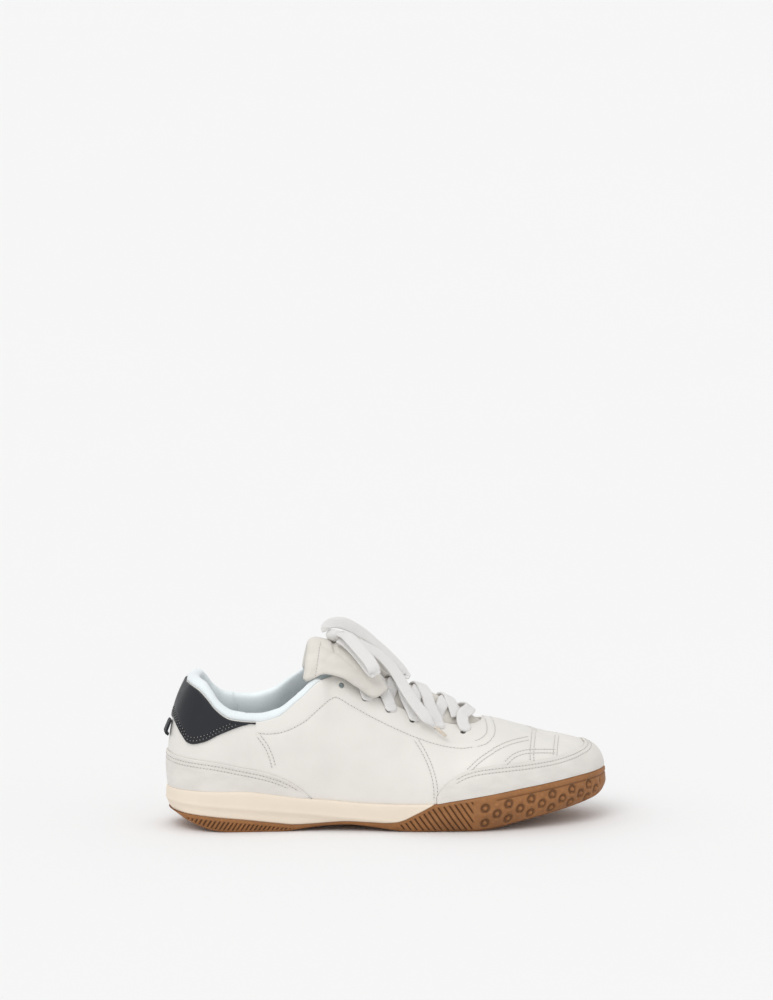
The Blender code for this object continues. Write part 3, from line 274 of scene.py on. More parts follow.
class ShoeSizes(bpy.types.PropertyGroup):
    """Sizes of the small details, all in metres."""

    lace_width: length("Lace width", "Width of the flat lace", 0.0083, 0.004, 0.009)
    lace_thickness: length("Lace thickness", "Thickness of the flat lace", 0.0016, 0.0008, 0.002)
    stitch_pitch: length("Stitch pitch", "Distance from one stitch to the next", 0.0023, 0.0015, 0.004)
    stitch_length: length("Stitch length", "Length of thread that shows in a stitch", 0.00165, 0.0008, 0.003)
    thread: length("Thread", "Thickness of the sewing thread", 0.00042, 0.0002, 0.001)
    seam_depth: length("Seam depth", "How far a seam sinks into the leather", 0.00028, 0.0, 0.001)
    seam_width: length("Seam width", "Half width of the dip along a seam", 0.0013, 0.0006, 0.004)


class ShoeColours(bpy.types.PropertyGroup):
    """Base colours of the finishes."""

    leather: tone("Leather", "White full grain leather", 0.79, 0.765, 0.725)
    suede: tone("Suede", "Pale suede of the toe guard and heel", 0.765, 0.735, 0.695)
    tongue: tone("Tongue", "Off-white suede of the tongue", 0.72, 0.69, 0.635)
    lining: tone("Lining", "Pale blue lining fabric", 0.81, 0.865, 0.88)
    dark: tone("Dark leather", "Heel tab and pull loop", 0.0055, 0.0072, 0.0118)
    foam: tone("Midsole", "Cream foam of the midsole", 0.83, 0.725, 0.60)
    gum: tone("Gum rubber", "Brown rubber of the outsole", 0.33, 0.142, 0.048)
    lace: tone("Lace", "White cotton of the laces", 0.90, 0.885, 0.87)
    floor: tone("Floor", "Pale studio floor", 0.90, 0.90, 0.90)


def sizes():
    return bpy.context.scene.shoe_sizes


def cell(place, steps):
    """The step of a net that each place lies in, and how far into it."""
    low = np.clip(np.floor(place).astype(int), 0, steps - 1)
    return low, place - low


def blend(net, across, up):
    """A net's values between its columns and rows, from the cells across and up."""
    (i, f), (j, g) = across, up
    return ((net[i, j] * (1 - g) + net[i, j + 1] * g) * (1 - f)
            + (net[i + 1, j] * (1 - g) + net[i + 1, j + 1] * g) * f)


# Curves through the tables

def curve(xs, ys, x):
    """A smooth curve through a table's points that never swings past them."""
    xs, ys = np.asarray(xs, float), np.asarray(ys, float)
    steps = np.diff(xs)
    slopes = np.diff(ys) / steps
    turns = np.zeros(len(xs))
    turns[0], turns[-1] = slopes[0], slopes[-1]
    rising = slopes[:-1] * slopes[1:] > 0
    before, after = 2 * steps[1:] + steps[:-1], steps[1:] + 2 * steps[:-1]
    safe = np.where(rising, slopes[:-1], 1.0), np.where(rising, slopes[1:], 1.0)
    turns[1:-1] = np.where(rising, (before + after) / (before / safe[0] + after / safe[1]), 0.0)
    x = np.clip(x, xs[0], xs[-1])
    i = np.minimum(np.searchsorted(xs, x, side="right") - 1, len(steps) - 1)
    t = (x - xs[i]) / steps[i]
    rise = ys[i] * (1 + 2 * t) * (1 - t) ** 2 + ys[i + 1] * t * t * (3 - 2 * t)
    return rise + steps[i] * t * (1 - t) * (turns[i] * (1 - t) - turns[i + 1] * t)


def run_along(points):
    """Distance along a line of points, from its first one."""
    return np.concatenate([[0], np.cumsum(np.linalg.norm(np.diff(points, axis=0), axis=1))])


def bezier(start, first, second, end, t):
    return start * (1 - t) ** 3 + first * 3 * t * (1 - t) ** 2 + second * 3 * t * t * (1 - t) + end * t ** 3


def ease(x):
    x = np.clip(x, 0.0, 1.0)
    return x * x * (3 - 2 * x)


def unit(vectors):
    vectors = np.asarray(vectors, float)
    return vectors / np.maximum(np.linalg.norm(vectors, axis=-1, keepdims=True), 1e-12)


def station_x(station):
    return SOLE_LENGTH * station - HEEL_REST


def station_of(x):
    return (x + HEEL_REST) / SOLE_LENGTH


def centre_y(station):
    return TOE_SWING * ease((station - SWING_STARTS) / (1 - SWING_STARTS))


def stack(table, station):
    return STACK_HEIGHT * curve(table["station"], table["height"], station)


def underside(station):
    spring = TOE_SPRING * curve(SPRING["station"], SPRING["height"], station)
    return np.where(station <= SPRING["station"][0], stack(UNDERSIDE, station), spring)


# The plan of the sole and of the upper's lower edge, for arrays of u
# u runs from -1, at the toe, along the lateral side to 0, at the heel, and along the medial side to 1

def rib_station(rib):
    return (1 - np.cos(np.pi * rib)) / 2


def wrap(u):
    return (u + 1) % 2 - 1


def sole_edge(u):
    u = np.asarray(u, float)
    lateral = u < 0
    station = rib_station(np.abs(u))
    half = BALL_WIDTH * np.where(lateral, curve(OUTLINE["station"], OUTLINE["lateral"], station),
                                 curve(OUTLINE["station"], OUTLINE["medial"], station))
    left = np.clip(1 - np.abs(1 - station / HEEL_CAP["share"]) ** HEEL_CAP["power"], 0, None)
    half = np.where(station < HEEL_CAP["share"], half * left ** (1 / HEEL_CAP["power"]), half)
    along = np.clip((station - 1 + TOE_CAP["share"]) / TOE_CAP["share"], 0, None)
    power = np.where(lateral, TOE_CAP["lateral"], TOE_CAP["medial"])
    half = half * np.clip(1 - along ** power, 0, None) ** (1 / power)
    return np.stack([station_x(station), centre_y(station) + np.where(lateral, -half, half)], axis=-1)


def outward(u):
    """The plan direction that points out of the shoe."""
    step = 0.004
    run = unit(sole_edge(wrap(u + step)) - sole_edge(wrap(u - step)))
    return np.stack([-run[..., 1], run[..., 0]], axis=-1)


def feather(u, inset=RIM_WALL + GAP):
    return sole_edge(u) - outward(u) * inset


def top_value(rib, name):
    return curve(TOP["rib"], TOP[name], rib)


def top_point(u):
    rib = np.abs(u)
    station = top_value(rib, "top")
    half = BALL_WIDTH * top_value(rib, "gap")
    raised = MEDIAL_RISE * ease(rib / 0.2) * ease((RIB_CORNER - rib) / 0.1)
    height = top_value(rib, "height") + np.where(u > 0, raised, 0.0)
    return np.stack([station_x(station), centre_y(station) + np.where(u < 0, -half, half), height], axis=-1)


def ridge_slope(rib):
    step = 0.01
    ahead, behind = np.minimum(rib + step, 1.0), np.maximum(rib - step, RIB_THROAT)
    run = SOLE_LENGTH * (top_value(ahead, "top") - top_value(behind, "top"))
    slope = (top_value(ahead, "height") - top_value(behind, "height")) / np.where(rib < RIB_THROAT, 1.0, run)
    return np.where(rib < RIB_THROAT, 0.0, slope)


def spaced_ribs(step):
    """Ribs of one side with steps of the same length round the sole, and one at the end of the throat."""
    fine = np.linspace(0, 1, 1500)
    along = run_along(sole_edge(-fine))
    split = float(np.interp(RIB_THROAT, fine, along))
    back = np.linspace(0, split, int(round(split / step)) + 1)
    front = np.linspace(split, along[-1], int(round((along[-1] - split) / step)) + 1)
    return np.interp(np.concatenate([back, front[1:]]), along, fine)


class Skin:
    """The upper's outer surface as a fine net, from which points are read."""

    def __init__(self):
        side = spaced_ribs(RIB_STEP)
        self.u = np.concatenate([-side[::-1], side[1:]])
        self.points = self.eased(self.net())
        self.length = np.linalg.norm(np.diff(self.points, axis=1), axis=2).sum(axis=1)
        self.out = self.normals()
        self.run = unit(self.points[:, -1] - self.points[:, -5])

    def net(self):
        """Each rib is one smooth curve from the feather line to the opening or the ridge."""
        u = self.u
        rib = np.abs(u)
        base = feather(u)
        low = stack(FOOT_BED, station_of(base[:, 0])) + GAP
        start, end = np.column_stack([base, low]), top_point(u)
        flat = end[:, :2] - start[:, :2]
        reach = np.linalg.norm(flat, axis=1)
        inward = np.where((reach < 0.004)[:, None], -outward(u), unit(flat))
        angle = np.radians(top_value(rib, "angle"))
        arrive = np.column_stack([inward * np.cos(angle)[:, None],
                                  np.sin(angle) + ridge_slope(rib) * inward[:, 0]])
        out = outward(u) * (BALL_WIDTH * top_value(rib, "swell"))[:, None]
        first = start + np.column_stack([out, (end - start)[:, 2] * top_value(rib, "lift")])
        span = np.linalg.norm(end - start, axis=1)
        second = end - arrive * (top_value(rib, "reach") * span)[:, None]
        t = np.linspace(0, 1, RIB_STEPS + 1)[None, :, None]
        whole = bezier(start[:, None], first[:, None], second[:, None], end[:, None], t)
        steps = np.linalg.norm(np.diff(whole, axis=1), axis=2)
        along = np.concatenate([np.zeros((len(u), 1)), np.cumsum(steps, axis=1)], axis=1)
        shares = np.linspace(0, 1, NET_ROWS + 1)
        net = np.empty((len(u), NET_ROWS + 1, 3))
        for i in range(len(u)):
            for k in range(3):
                net[i, :, k] = np.interp(shares * along[i, -1], along[i], whole[i, :, k])
        return net

    def eased(self, net):
        """Evens out the leather below the corner of the opening, where the ribs change quickly."""
        near = np.exp(-((np.abs(self.u) - RIB_CORNER) / EASED_REACH) ** 2)
        below = 1 - ease((np.linspace(0, 1, NET_ROWS + 1) - 0.5) / 0.4)
        weight = (near[:, None] * below)[1:-1, :, None]
        for _ in range(EASED_ROUNDS):
            net[1:-1] += weight * ((net[:-2] + 2 * net[1:-1] + net[2:]) / 4 - net[1:-1])
        return net

    def normals(self):
        closed = self.points[:-1]
        along = np.roll(closed, -2, axis=0) - np.roll(closed, 2, axis=0)
        along = np.concatenate([along, along[:1]])
        up = np.empty_like(self.points)
        up[:, 2:-2] = self.points[:, 4:] - self.points[:, :-4]
        up[:, :2] = up[:, 2:3]
        up[:, -2:] = up[:, -3:-2]
        out = unit(np.cross(up, along))
        middle = (len(self.u) - 1) // 2
        for i in np.nonzero(np.abs(self.u) >= RIB_THROAT)[0]:
            other = 2 * middle - i
            if i < other:
                mean = unit(out[i, -1] + out[other, -1])
                out[i, -1], out[other, -1] = mean, mean
        return out

    def at(self, u, share, lift=0.0):
        """Points at u and share, lifted off along the surface's normal. Past 1 a rib runs on straight."""
        points, _ = self.read(u, share, lift)
        return points

    def read(self, u, share, lift=0.0):
        u, share, lift = (a[..., None] for a in np.broadcast_arrays(*(np.asarray(a, float)
                                                                     for a in (u, share, lift))))
        low, f = cell(np.interp(u, self.u, np.arange(len(self.u))), len(self.u) - 1)
        row, g = cell(np.clip(share, 0, 1) * NET_ROWS, NET_ROWS)
        low, row = low[..., 0], row[..., 0]
        out = unit(blend(self.out, (low, f), (row, g)))
        over = np.clip(share - 1, 0, None) * self.rib_length(u)
        run = self.run[low] * (1 - f) + self.run[low + 1] * f
        return blend(self.points, (low, f), (row, g)) + run * over + out * lift, out

    def rib_length(self, u):
        return np.interp(u, self.u, self.length)

    def share_below_top(self, u, distance):
        return 1 - distance / self.rib_length(u)

    def share_at_height(self, u, height):
        """The share of a rib at which it reaches a height."""
        u, height = np.broadcast_arrays(np.asarray(u, float), np.asarray(height, float))
        found = np.empty(u.shape)
        shares = np.linspace(0, 1, NET_ROWS + 1)
        for k, value in np.ndenumerate(u):
            heights = self.at(np.full(NET_ROWS + 1, value), shares)[:, 2]
            peak = int(heights.argmax())
            found[k] = np.interp(height[k], heights[:peak + 1], shares[:peak + 1])
        return found


STORE = {}


def skin():
    if "skin" not in STORE:
        STORE["skin"] = Skin()
    return STORE["skin"]


def rim_height(u):
    return stack(RIM, station_of(sole_edge(u)[..., 0]))


def leather_top(u):
    """The share of a rib at which the leather ends below the cuff."""
    rib = np.abs(u)
    drop = CUFF_DEPTH * curve(CUFF_BAND["rib"], CUFF_BAND["drop"], rib)
    return np.where(rib >= RIB_CORNER, 1.0, skin().share_below_top(u, drop))


# The camera, and how the photo's pixels fall on the shoe

def camera_axes():
    back = np.array([math.sin(CAMERA_TURN) * math.cos(CAMERA_RISE),
                     -math.cos(CAMERA_TURN) * math.cos(CAMERA_RISE), math.sin(CAMERA_RISE)])
    right = np.array([math.cos(CAMERA_TURN), math.sin(CAMERA_TURN), 0.0])
    return right, np.cross(back, right), back


def camera_place():
    right, up, back = camera_axes()
    target = np.array([-HEEL_REST, 0.0, 0.0]) + right * AIM_RIGHT + up * AIM_UP
    distance = CAMERA_LENS / CAMERA_SENSOR * METRES_PER_PIXEL * PHOTO_HEIGHT
    return target, target + back * distance


def pixel_ray(pixel, row):
    right, up, _ = camera_axes()
    target, eye = camera_place()
    through = (target + right * (pixel - PHOTO_WIDTH / 2) * METRES_PER_PIXEL
               + up * (PHOTO_HEIGHT / 2 - row) * METRES_PER_PIXEL)
    return eye, unit(through - eye)


def smooth_line(points, step):
    """A smooth line through points, with its own points step apart."""
    points = np.asarray(points, float)
    ends = np.vstack([2 * points[0] - points[1], points, 2 * points[-1] - points[-2]])
    fine = []
    for i in range(1, len(ends) - 2):
        a, b, c, d = ends[i - 1:i + 3]
        t = np.linspace(0, 1, 24, endpoint=False)[:, None]
        fine.append(0.5 * (2 * b + (c - a) * t + (2 * a - 5 * b + 4 * c - d) * t ** 2
                           + (3 * b - a - 3 * c + d) * t ** 3))
    fine = np.vstack(fine + [points[-1:]])
    along = run_along(fine)
    count = max(2, int(round(along[-1] / step)) + 1)
    places = np.linspace(0, along[-1], count)
    return np.column_stack([np.interp(places, along, fine[:, k]) for k in range(fine.shape[1])])


def skin_tree():
    """The upper's outer surface for rays, and the net's cell of each of its faces."""
    if "tree" not in STORE:
        net = skin().points[::2, ::4]
        wide, high = net.shape[:2]
        faces, cells = [], []
        for i in range(wide - 1):
            for j in range(high - 1):
                a = i * high + j
                faces.append((a, a + high, a + high + 1, a + 1))
                cells.append((i * 2, j * 4))
        STORE["tree"] = BVHTree.FromPolygons([Vector(p) for p in net.reshape(-1, 3)], faces), cells
    return STORE["tree"]


def on_skin(route):
    """The u and share of the points of the upper that a route of pixels falls on."""
    tree, cells = skin_tree()
    net, us = skin().points, skin().u
    found = []
    for pixel, row in route:
        eye, ray = pixel_ray(pixel, row)
        spot, _, index, _ = tree.ray_cast(Vector(eye), Vector(ray))
        if spot is None:
            continue
        i, j = cells[index]
        corner, across, up = net[i, j], net[i + 2, j] - net[i, j], net[i, j + 4] - net[i, j]
        part = np.linalg.lstsq(np.column_stack([across, up]), np.array(spot) - corner, rcond=None)[0]
        u = between(us[i], us[i + 2], part[0])
        found.append((u, (j + 4 * part[1]) / NET_ROWS))
    return np.array(found)


# Meshes

def net_faces(wide, high, close_wide=False, close_high=False):
    """Corner numbers of the four-sided faces of a net of wide by high points, stored column by column."""
    i = np.arange(wide if close_wide else wide - 1)
    j = np.arange(high if close_high else high - 1)
    i, j = np.meshgrid(i, j, indexing="ij")
    ahead, above = (i + 1) % wide, (j + 1) % high
    return np.stack([i * high + j, ahead * high + j, ahead * high + above, i * high + above], axis=-1)


def tube_faces(wide, high):
    """The faces of a net that closes across its columns, with a flat end on its first and its last one."""
    faces = [tuple(f) for f in net_faces(wide, high, close_high=True).reshape(-1, 4)]
    return faces + [tuple(range(high)), tuple((wide - 1) * high + j for j in reversed(range(high)))]


def make_mesh(name, points, faces, smooth=True, sunk_in=None):
    """A mesh of points and faces. The last argument says from 0 to 1 how deep each point lies in a groove or
    seam, and the materials paint shade there by it.
    """
    mesh = bpy.data.meshes.new(name)
    mesh.from_pydata(np.asarray(points).reshape(-1, 3).tolist(), [], [list(f) for f in faces])
    mesh.update()
    # Stored for the materials, which paint shade into the grooves and seams by it
    if sunk_in is not None:
        layer = mesh.attributes.new("sunk_in", "FLOAT", "POINT")
        layer.data.foreach_set("value", np.asarray(sunk_in, float).ravel())
    mesh.polygons.foreach_set("use_smooth", [smooth] * len(mesh.polygons))
    return mesh


def weld(mesh, distance=0.00002):
    """Joins points that lie closer than distance, and turns all faces outward."""
    work = bmesh.new()
    work.from_mesh(mesh)
    if distance:
        bmesh.ops.remove_doubles(work, verts=work.verts, dist=distance)
        bmesh.ops.dissolve_degenerate(work, edges=work.edges, dist=distance / 4)
    bmesh.ops.recalc_face_normals(work, faces=work.faces)
    work.to_mesh(mesh)
    work.free()
    return mesh


def show(name, data):
    """An object in the scene that holds a mesh, a lamp or a camera."""
    item = bpy.data.objects.new(name, data)
    bpy.context.scene.collection.objects.link(item)
    return item


def make_piece(name, mesh, slot, node, *materials):
    """A finished piece that rides on the shoe, takes the finishes given and stands for a node; its slot is
    not used.
    """
    piece = show(name, mesh)
    for material in materials:
        mesh.materials.append(material)
    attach(piece, "root")
    if node:
        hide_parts(node)
    return piece


def net_normals(net):
    """The normals of a net of points, across its columns and rows."""
    return unit(np.cross(np.gradient(net, axis=0), np.gradient(net, axis=1)))


def paint_uv(mesh, values):
    """Stores a flat place for each vertex, which the weave of laces and webbing follows."""
    layer = mesh.uv_layers.new(name="along")
    corners = np.empty(len(mesh.loops), int)
    mesh.loops.foreach_get("vertex_index", corners)
    layer.uv.foreach_set("vector", np.asarray(values, float)[corners].ravel())


def sunk(points, lines, depth, width):
    """How far each point sinks beside the lines, as a smooth dip of that depth and half width."""
    tree = KDTree(len(lines))
    for k, spot in enumerate(lines):
        tree.insert(spot, k)
    tree.balance()
    flat = points.reshape(-1, 3)
    near = np.array([tree.find(p)[2] for p in flat])
    return (depth * np.exp(-(near / width) ** 2)).reshape(points.shape[:-1])


def roll(points, pitch, seed):
    """Slow hand-made unevenness from -1 to 1, the same on each run."""
    maker = random.Random(seed)
    total = np.zeros(points.shape[:-1])
    waves = 7
    for _ in range(waves):
        turn, tip = maker.uniform(0, 2 * math.pi), maker.uniform(-1, 1)
        flat = math.sqrt(1 - tip * tip)
        way = np.array([flat * math.cos(turn), flat * math.sin(turn), tip])
        turn = 2 * math.pi / (pitch * maker.uniform(0.7, 1.5))
        total += np.sin(points @ way * turn + maker.uniform(0, 6.3))
    return total / math.sqrt(waves) / 1.5


# Materials

class Nodes:
    """Adds a material's nodes by short calls."""

    def __init__(self, name, base, roughness):
        self.material = bpy.data.materials.new(name)
        self.material.use_nodes = True
        self.tree = self.material.node_tree
        self.shader = self.tree.nodes["Principled BSDF"]
        self.base, self.roughness = base, roughness
        self.material.diffuse_color = (*base, 1.0)
        self.set(Base_Color=(*base, 1.0), Roughness=roughness)
        self.space = self.add("ShaderNodeTexCoord").outputs["Object"]

    def set(self, **values):
        for name, value in values.items():
            self.shader.inputs[name.replace("_", " ")].default_value = value

    def add(self, kind, **values):
        node = self.tree.nodes.new(kind)
        for name, value in values.items():
            if hasattr(node, name):
                setattr(node, name, value)
            else:
                node.inputs[name.replace("_", " ")].default_value = value
        return node

    def link(self, source, target):
        self.tree.links.new(source, target)

    def noise(self, scale, detail=3.0, space=None, roughness=0.5):
        node = self.add("ShaderNodeTexNoise", Scale=scale, Detail=detail, Roughness=roughness)
        self.link(space or self.space, node.inputs["Vector"])
        return node.outputs["Fac"]

    def cells(self, scale, feature="F1", space=None):
        node = self.add("ShaderNodeTexVoronoi", Scale=scale, feature=feature)
        self.link(space or self.space, node.inputs["Vector"])
        return node.outputs["Distance"]

    def stretched(self, scale, source=None):
        node = self.add("ShaderNodeMapping")
        node.inputs["Scale"].default_value = scale
        self.link(source or self.space, node.inputs["Vector"])
        return node.outputs["Vector"]

    def math(self, operation, first, second):
        node = self.add("ShaderNodeMath", operation=operation)
        for place, value in zip(node.inputs, (first, second)):
            if isinstance(value, (int, float)):
                place.default_value = value
            else:
                self.link(value, place)
        return node.outputs[0]

    def spread(self, value, low, high, to_low, to_high):
        node = self.add("ShaderNodeMapRange")
        for name, number in (("From Min", low), ("From Max", high), ("To Min", to_low), ("To Max", to_high)):
            node.inputs[name].default_value = number
        self.link(value, node.inputs["Value"])
        return node.outputs["Result"]

    def tint(self, value, factor, low=0.3, high=0.7, under=None):
        """Runs the base colour, or what lies under, into a shade of the base colour where value rises."""
        node = self.add("ShaderNodeMix", data_type="RGBA")
        node.inputs["A"].default_value = (*self.base, 1.0)
        if under is not None:
            self.link(under, node.inputs["A"])
        node.inputs["B"].default_value = (*shade(self.base, factor), 1.0)
        self.link(self.spread(value, low, high, 0.0, 1.0), node.inputs["Factor"])
        result = [out for out in node.outputs if out.type == "RGBA"][0]
        self.link(result, self.shader.inputs["Base Color"])
        return result

    def paint_groove_shade(self, under, factor):
        """Paints shade: runs the colour into a deeper one where the mesh says that it lies in a groove or
        seam, standing in for the shade that falls there.
        """
        node = self.add("ShaderNodeAttribute", attribute_name="sunk_in")
        return self.tint(node.outputs["Fac"], factor, 0.15, 1.0, under)

    def rough(self, value, low, high):
        self.link(self.spread(value, 0.25, 0.75, low, high), self.shader.inputs["Roughness"])

    def bump(self, height, distance, strength=1.0, under=None):
        node = self.add("ShaderNodeBump", Strength=strength, Distance=distance)
        self.link(height, node.inputs["Height"])
        if under is not None:
            self.link(under, node.inputs["Normal"])
        self.link(node.outputs["Normal"], self.shader.inputs["Normal"])
        return node.outputs["Normal"]


def shade(colour, factor):
    return tuple(min(1.0, c * factor) for c in colour)


def leather(work):
    """Full grain leather: fine pores, a soft pebble and slightly uneven dye."""
    # Painted shade: the leather is slightly darker in the seams' dips
    work.paint_groove_shade(work.tint(work.noise(38.0, 4.0), 0.95, 0.35, 0.75), 0.96)
    work.rough(work.noise(160.0), work.roughness - 0.07, work.roughness + 0.08)
    pebble = work.bump(work.noise(420.0, 4.0), 0.00022, 0.35)
    grain = work.bump(work.cells(1300.0), 0.00010, 0.30, pebble)
    work.bump(work.noise(2600.0, 2.0), 0.00004, 0.25, grain)
    work.set(Specular_IOR_Level=0.45, Coat_Weight=0.06, Coat_Roughness=0.35)


def suede(work):
    """Napped suede: short fibres, brushed patches and no gloss."""
    brushed = work.stretched((1.0, 0.6, 2.2))
    first = work.tint(work.noise(70.0, 5.0, brushed), 0.90, 0.30, 0.72)
    fibres = work.noise(1900.0, 5.0, brushed, 0.7)
    work.tint(fibres, 1.10, 0.52, 0.80, first)
    nap = work.bump(work.noise(900.0, 4.0, brushed), 0.00025, 0.35)
    work.bump(fibres, 0.00016, 0.55, nap)
    work.set(Sheen_Weight=0.12, Sheen_Roughness=0.45, Specular_IOR_Level=0.15)


def knit(work):
    """Knitted lining: rows of small loops with a soft sheen."""
    loops = work.cells(950.0, space=work.stretched((1.0, 1.0, 1.5)))
    first = work.tint(work.noise(45.0), 0.94, 0.3, 0.75)
    # Painted shade: the knit is darker where it lies low, between the loops
    work.tint(loops, 0.93, 0.42, 0.75, first)
    work.bump(work.noise(2400.0), 0.00006, 0.4, work.bump(loops, 0.00018, -0.35))
    work.set(Sheen_Weight=0.30, Sheen_Roughness=0.40)


def foam(work):
    """Moulded foam: a closed matt skin with a faint orange peel."""
    work.tint(work.noise(30.0), 0.95, 0.35, 0.8)
    work.rough(work.noise(220.0), 0.50, 0.66)
    peel = work.bump(work.noise(850.0, 2.0), 0.00008, 0.35)
    work.bump(work.cells(2300.0), 0.00003, 0.25, peel)


def gum(work):
    """Gum rubber: a warm brown with cloudy depth and a moulded grain."""
    first = work.tint(work.noise(60.0, 5.0), 0.72, 0.35, 0.8)
    second = work.tint(work.noise(420.0, 4.0), 1.22, 0.55, 0.85, first)
    # Painted shade: the gum is much darker in the grooves and dimples of its side
    work.paint_groove_shade(second, 0.30)
    work.rough(work.noise(300.0), 0.52, 0.75)
    work.bump(work.noise(1400.0, 3.0), 0.00008, 0.45)
    work.set(Specular_IOR_Level=0.4)


def woven(work, pitch, depth):
    """A flat weave that follows the band: slanted threads on both halves, which meet in the middle."""
    flat = work.add("ShaderNodeUVMap", uv_map="along").outputs["UV"]
    parts = work.add("ShaderNodeSeparateXYZ")
    work.link(flat, parts.inputs["Vector"])
    along, across = parts.outputs["X"], parts.outputs["Y"]
    slant = work.math("ADD", along, work.math("ABSOLUTE", across, 0.0))
    ridge = work.math("SINE", work.math("MULTIPLY", slant, 2 * math.pi / pitch), 0.0)
    cross = work.math("SINE", work.math("MULTIPLY", across, 2 * math.pi / (1.1 * pitch)), 0.0)
    height = work.math("ADD", ridge, work.math("MULTIPLY", cross, 0.7))
    # Painted shade: the weave is darker where it lies low, between the threads
    first = work.tint(height, 0.86, 0.2, -1.5)
    work.tint(work.noise(90.0), 0.95, 0.4, 0.8, first)
    work.bump(work.noise(3000.0), 0.00005, 0.5, work.bump(height, depth, 0.6))
    work.set(Sheen_Weight=0.20, Sheen_Roughness=0.50)


def lace(work):
    woven(work, 0.00095, 0.00022)


def webbing(work):
    woven(work, 0.0012, 0.0003)


def thread(work):
    """Twisted sewing thread."""
    work.tint(work.noise(900.0), 0.85, 0.4, 0.7)
    work.bump(work.noise(3500.0), 0.00005, 0.5)


def hole(work):
    """Painted shade: the inside of a needle hole and the walls of the eyelets, darker than the leather."""
    work.tint(work.noise(1500.0), 0.7)


def tip(work):
    """Clear lacquered tip of a lace."""
    work.tint(work.noise(300.0), 0.8, 0.4, 0.7)
    work.bump(work.noise(1200.0), 0.00005, 0.3)
    work.set(Coat_Weight=0.5, Coat_Roughness=0.15)


def floor(work):
    work.tint(work.noise(3.0), 0.995)
    work.set(Specular_IOR_Level=0.2)


# Each finish: its maker, name, base colour, the share of that colour that it takes, and roughness
FINISHES = {
    "leather": (leather, "white_leather", "leather", 1.0, 0.46),
    "dark_leather": (leather, "dark_leather", "dark", 1.0, 0.42),
    "suede": (suede, "pale_suede", "suede", 1.0, 0.95),
    "tongue": (suede, "tongue_suede", "tongue", 1.0, 0.95),
    "lining": (knit, "lining_knit", "lining", 1.0, 0.85),
    "foam": (foam, "cream_foam", "foam", 1.0, 0.58),
    "gum": (gum, "gum_rubber", "gum", 1.0, 0.62),
    "lace": (lace, "lace_weave", "lace", 1.0, 0.88),
    "webbing": (webbing, "dark_webbing", "dark", 1.0, 0.88),
    "thread": (thread, "pale_thread", "leather", 0.93, 0.7),
    "dark_thread": (thread, "dark_thread", "dark", 1.6, 0.7),
    # The holes' finish is painted shade, the leather darkened
    "holes": (hole, "needle_holes", "leather", 0.58, 0.95),
    "tip": (tip, "lace_tips", "foam", 0.86, 0.28),
    "floor": (floor, "studio_floor", "floor", 1.0, 0.75),
}


def material(kind):
    """One of the shoe's finishes, made when first asked for."""
    if kind not in STORE:
        dress, name, base, share, roughness = FINISHES[kind]
        work = Nodes(name, shade(getattr(bpy.context.scene.shoe_colours, base), share), roughness)
        dress(work)
        STORE[kind] = work.material
    return STORE[kind]


# Seams. Each route is a row of pixels of the photo, laid on the upper and mirrored to its inner side.
# rows: how many lines of stitches, 2.4 mm apart; only where the photo shows plain construction seams

SEAM_GAP = 0.0024
NEAR_RIDGE = 0.80
SEAMS = [
    dict(name="collar_line", rows=1, route=[(257, 733), (270, 734), (286, 731), (304, 722), (320, 708),
                                            (331, 699), (338, 698), (350, 705), (372, 717), (394, 728),
                                            (418, 738), (440, 745), (460, 748), (474, 747)]),
    dict(name="quarter_front", rows=2, route=[(416, 739), (424, 752), (431, 768), (435, 784), (436, 800)]),
    dict(name="heel_counter", rows=2, route=[(258, 735), (266, 746), (271, 757), (274, 768)]),
    dict(name="vamp_outer", rows=2, route=[(468, 771), (480, 760), (490, 753), (500, 747), (512, 742),
                                           (529, 738)]),
    dict(name="vamp_inner", rows=2, route=[(505, 764), (514, 756), (525, 752), (540, 751), (556, 751)]),
    dict(name="vamp_front", rows=2, route=[(534, 729), (533, 740), (532, 750), (532, 761)]),
    dict(name="vamp_toe", rows=2, route=[(557, 735), (556, 744), (555, 756)]),
    dict(name="throat_front", rows=1, route=[(474, 741), (481, 738), (486, 733), (487, 726), (485, 719)]),
    dict(name="throat_outer", rows=1, route=[(476, 747), (487, 743), (494, 735), (495, 727), (493, 720)]),
]


def seam_rows(route, rows):
    """A seam's lines of stitches as u and share, the further ones beside the first."""
    pixels = smooth_line(route, 1.0)
    lines = []
    run = unit(np.gradient(pixels, axis=0))
    side = np.column_stack([run[:, 1], -run[:, 0]])
    for k in range(rows):
        shift = (k - (rows - 1) / 2) * SEAM_GAP / METRES_PER_PIXEL
        lines.append(on_skin(pixels + side * shift))
    return [line for line in lines if len(line) > 3]


def seam_lines():
    """All seams of both sides, each a row of u and share."""
    if "seams" not in STORE:
        lines = []
        for seam in SEAMS:
            for line in seam_rows(seam["route"], seam["rows"]):
                if line[-1, 1] > line[0, 1]:
                    line = line[::-1]
                if line[0, 1] > NEAR_RIDGE and abs(line[0, 0]) > RIB_THROAT:
                    line = np.vstack([[(line[0, 0], 1.0)], line])
                lines.append(line)
                lines.append(line * (-1, 1))
        STORE["seams"] = lines
    return STORE["seams"]


def seam_dip(points):
    """How deep the seams draw in the leather at points of the upper."""
    seams = np.vstack([skin().at(line[:, 0], line[:, 1]) for line in seam_lines()])
    return sunk(points, seams, sizes().seam_depth, sizes().seam_width)


def waves(points):
    """The slow unevenness of the leather and its soft folds."""
    height = 0.00022 * roll(points, 0.045, 3) + 0.00007 * roll(points, 0.013, 5)
    for crease in CREASES:
        line = on_skin(smooth_line(crease["route"], 1.0))
        for side in (1, -1):
            spots = skin().at(line[:, 0] * side, line[:, 1])
            height -= sunk(points, spots, crease["depth"], crease["width"])
    return height


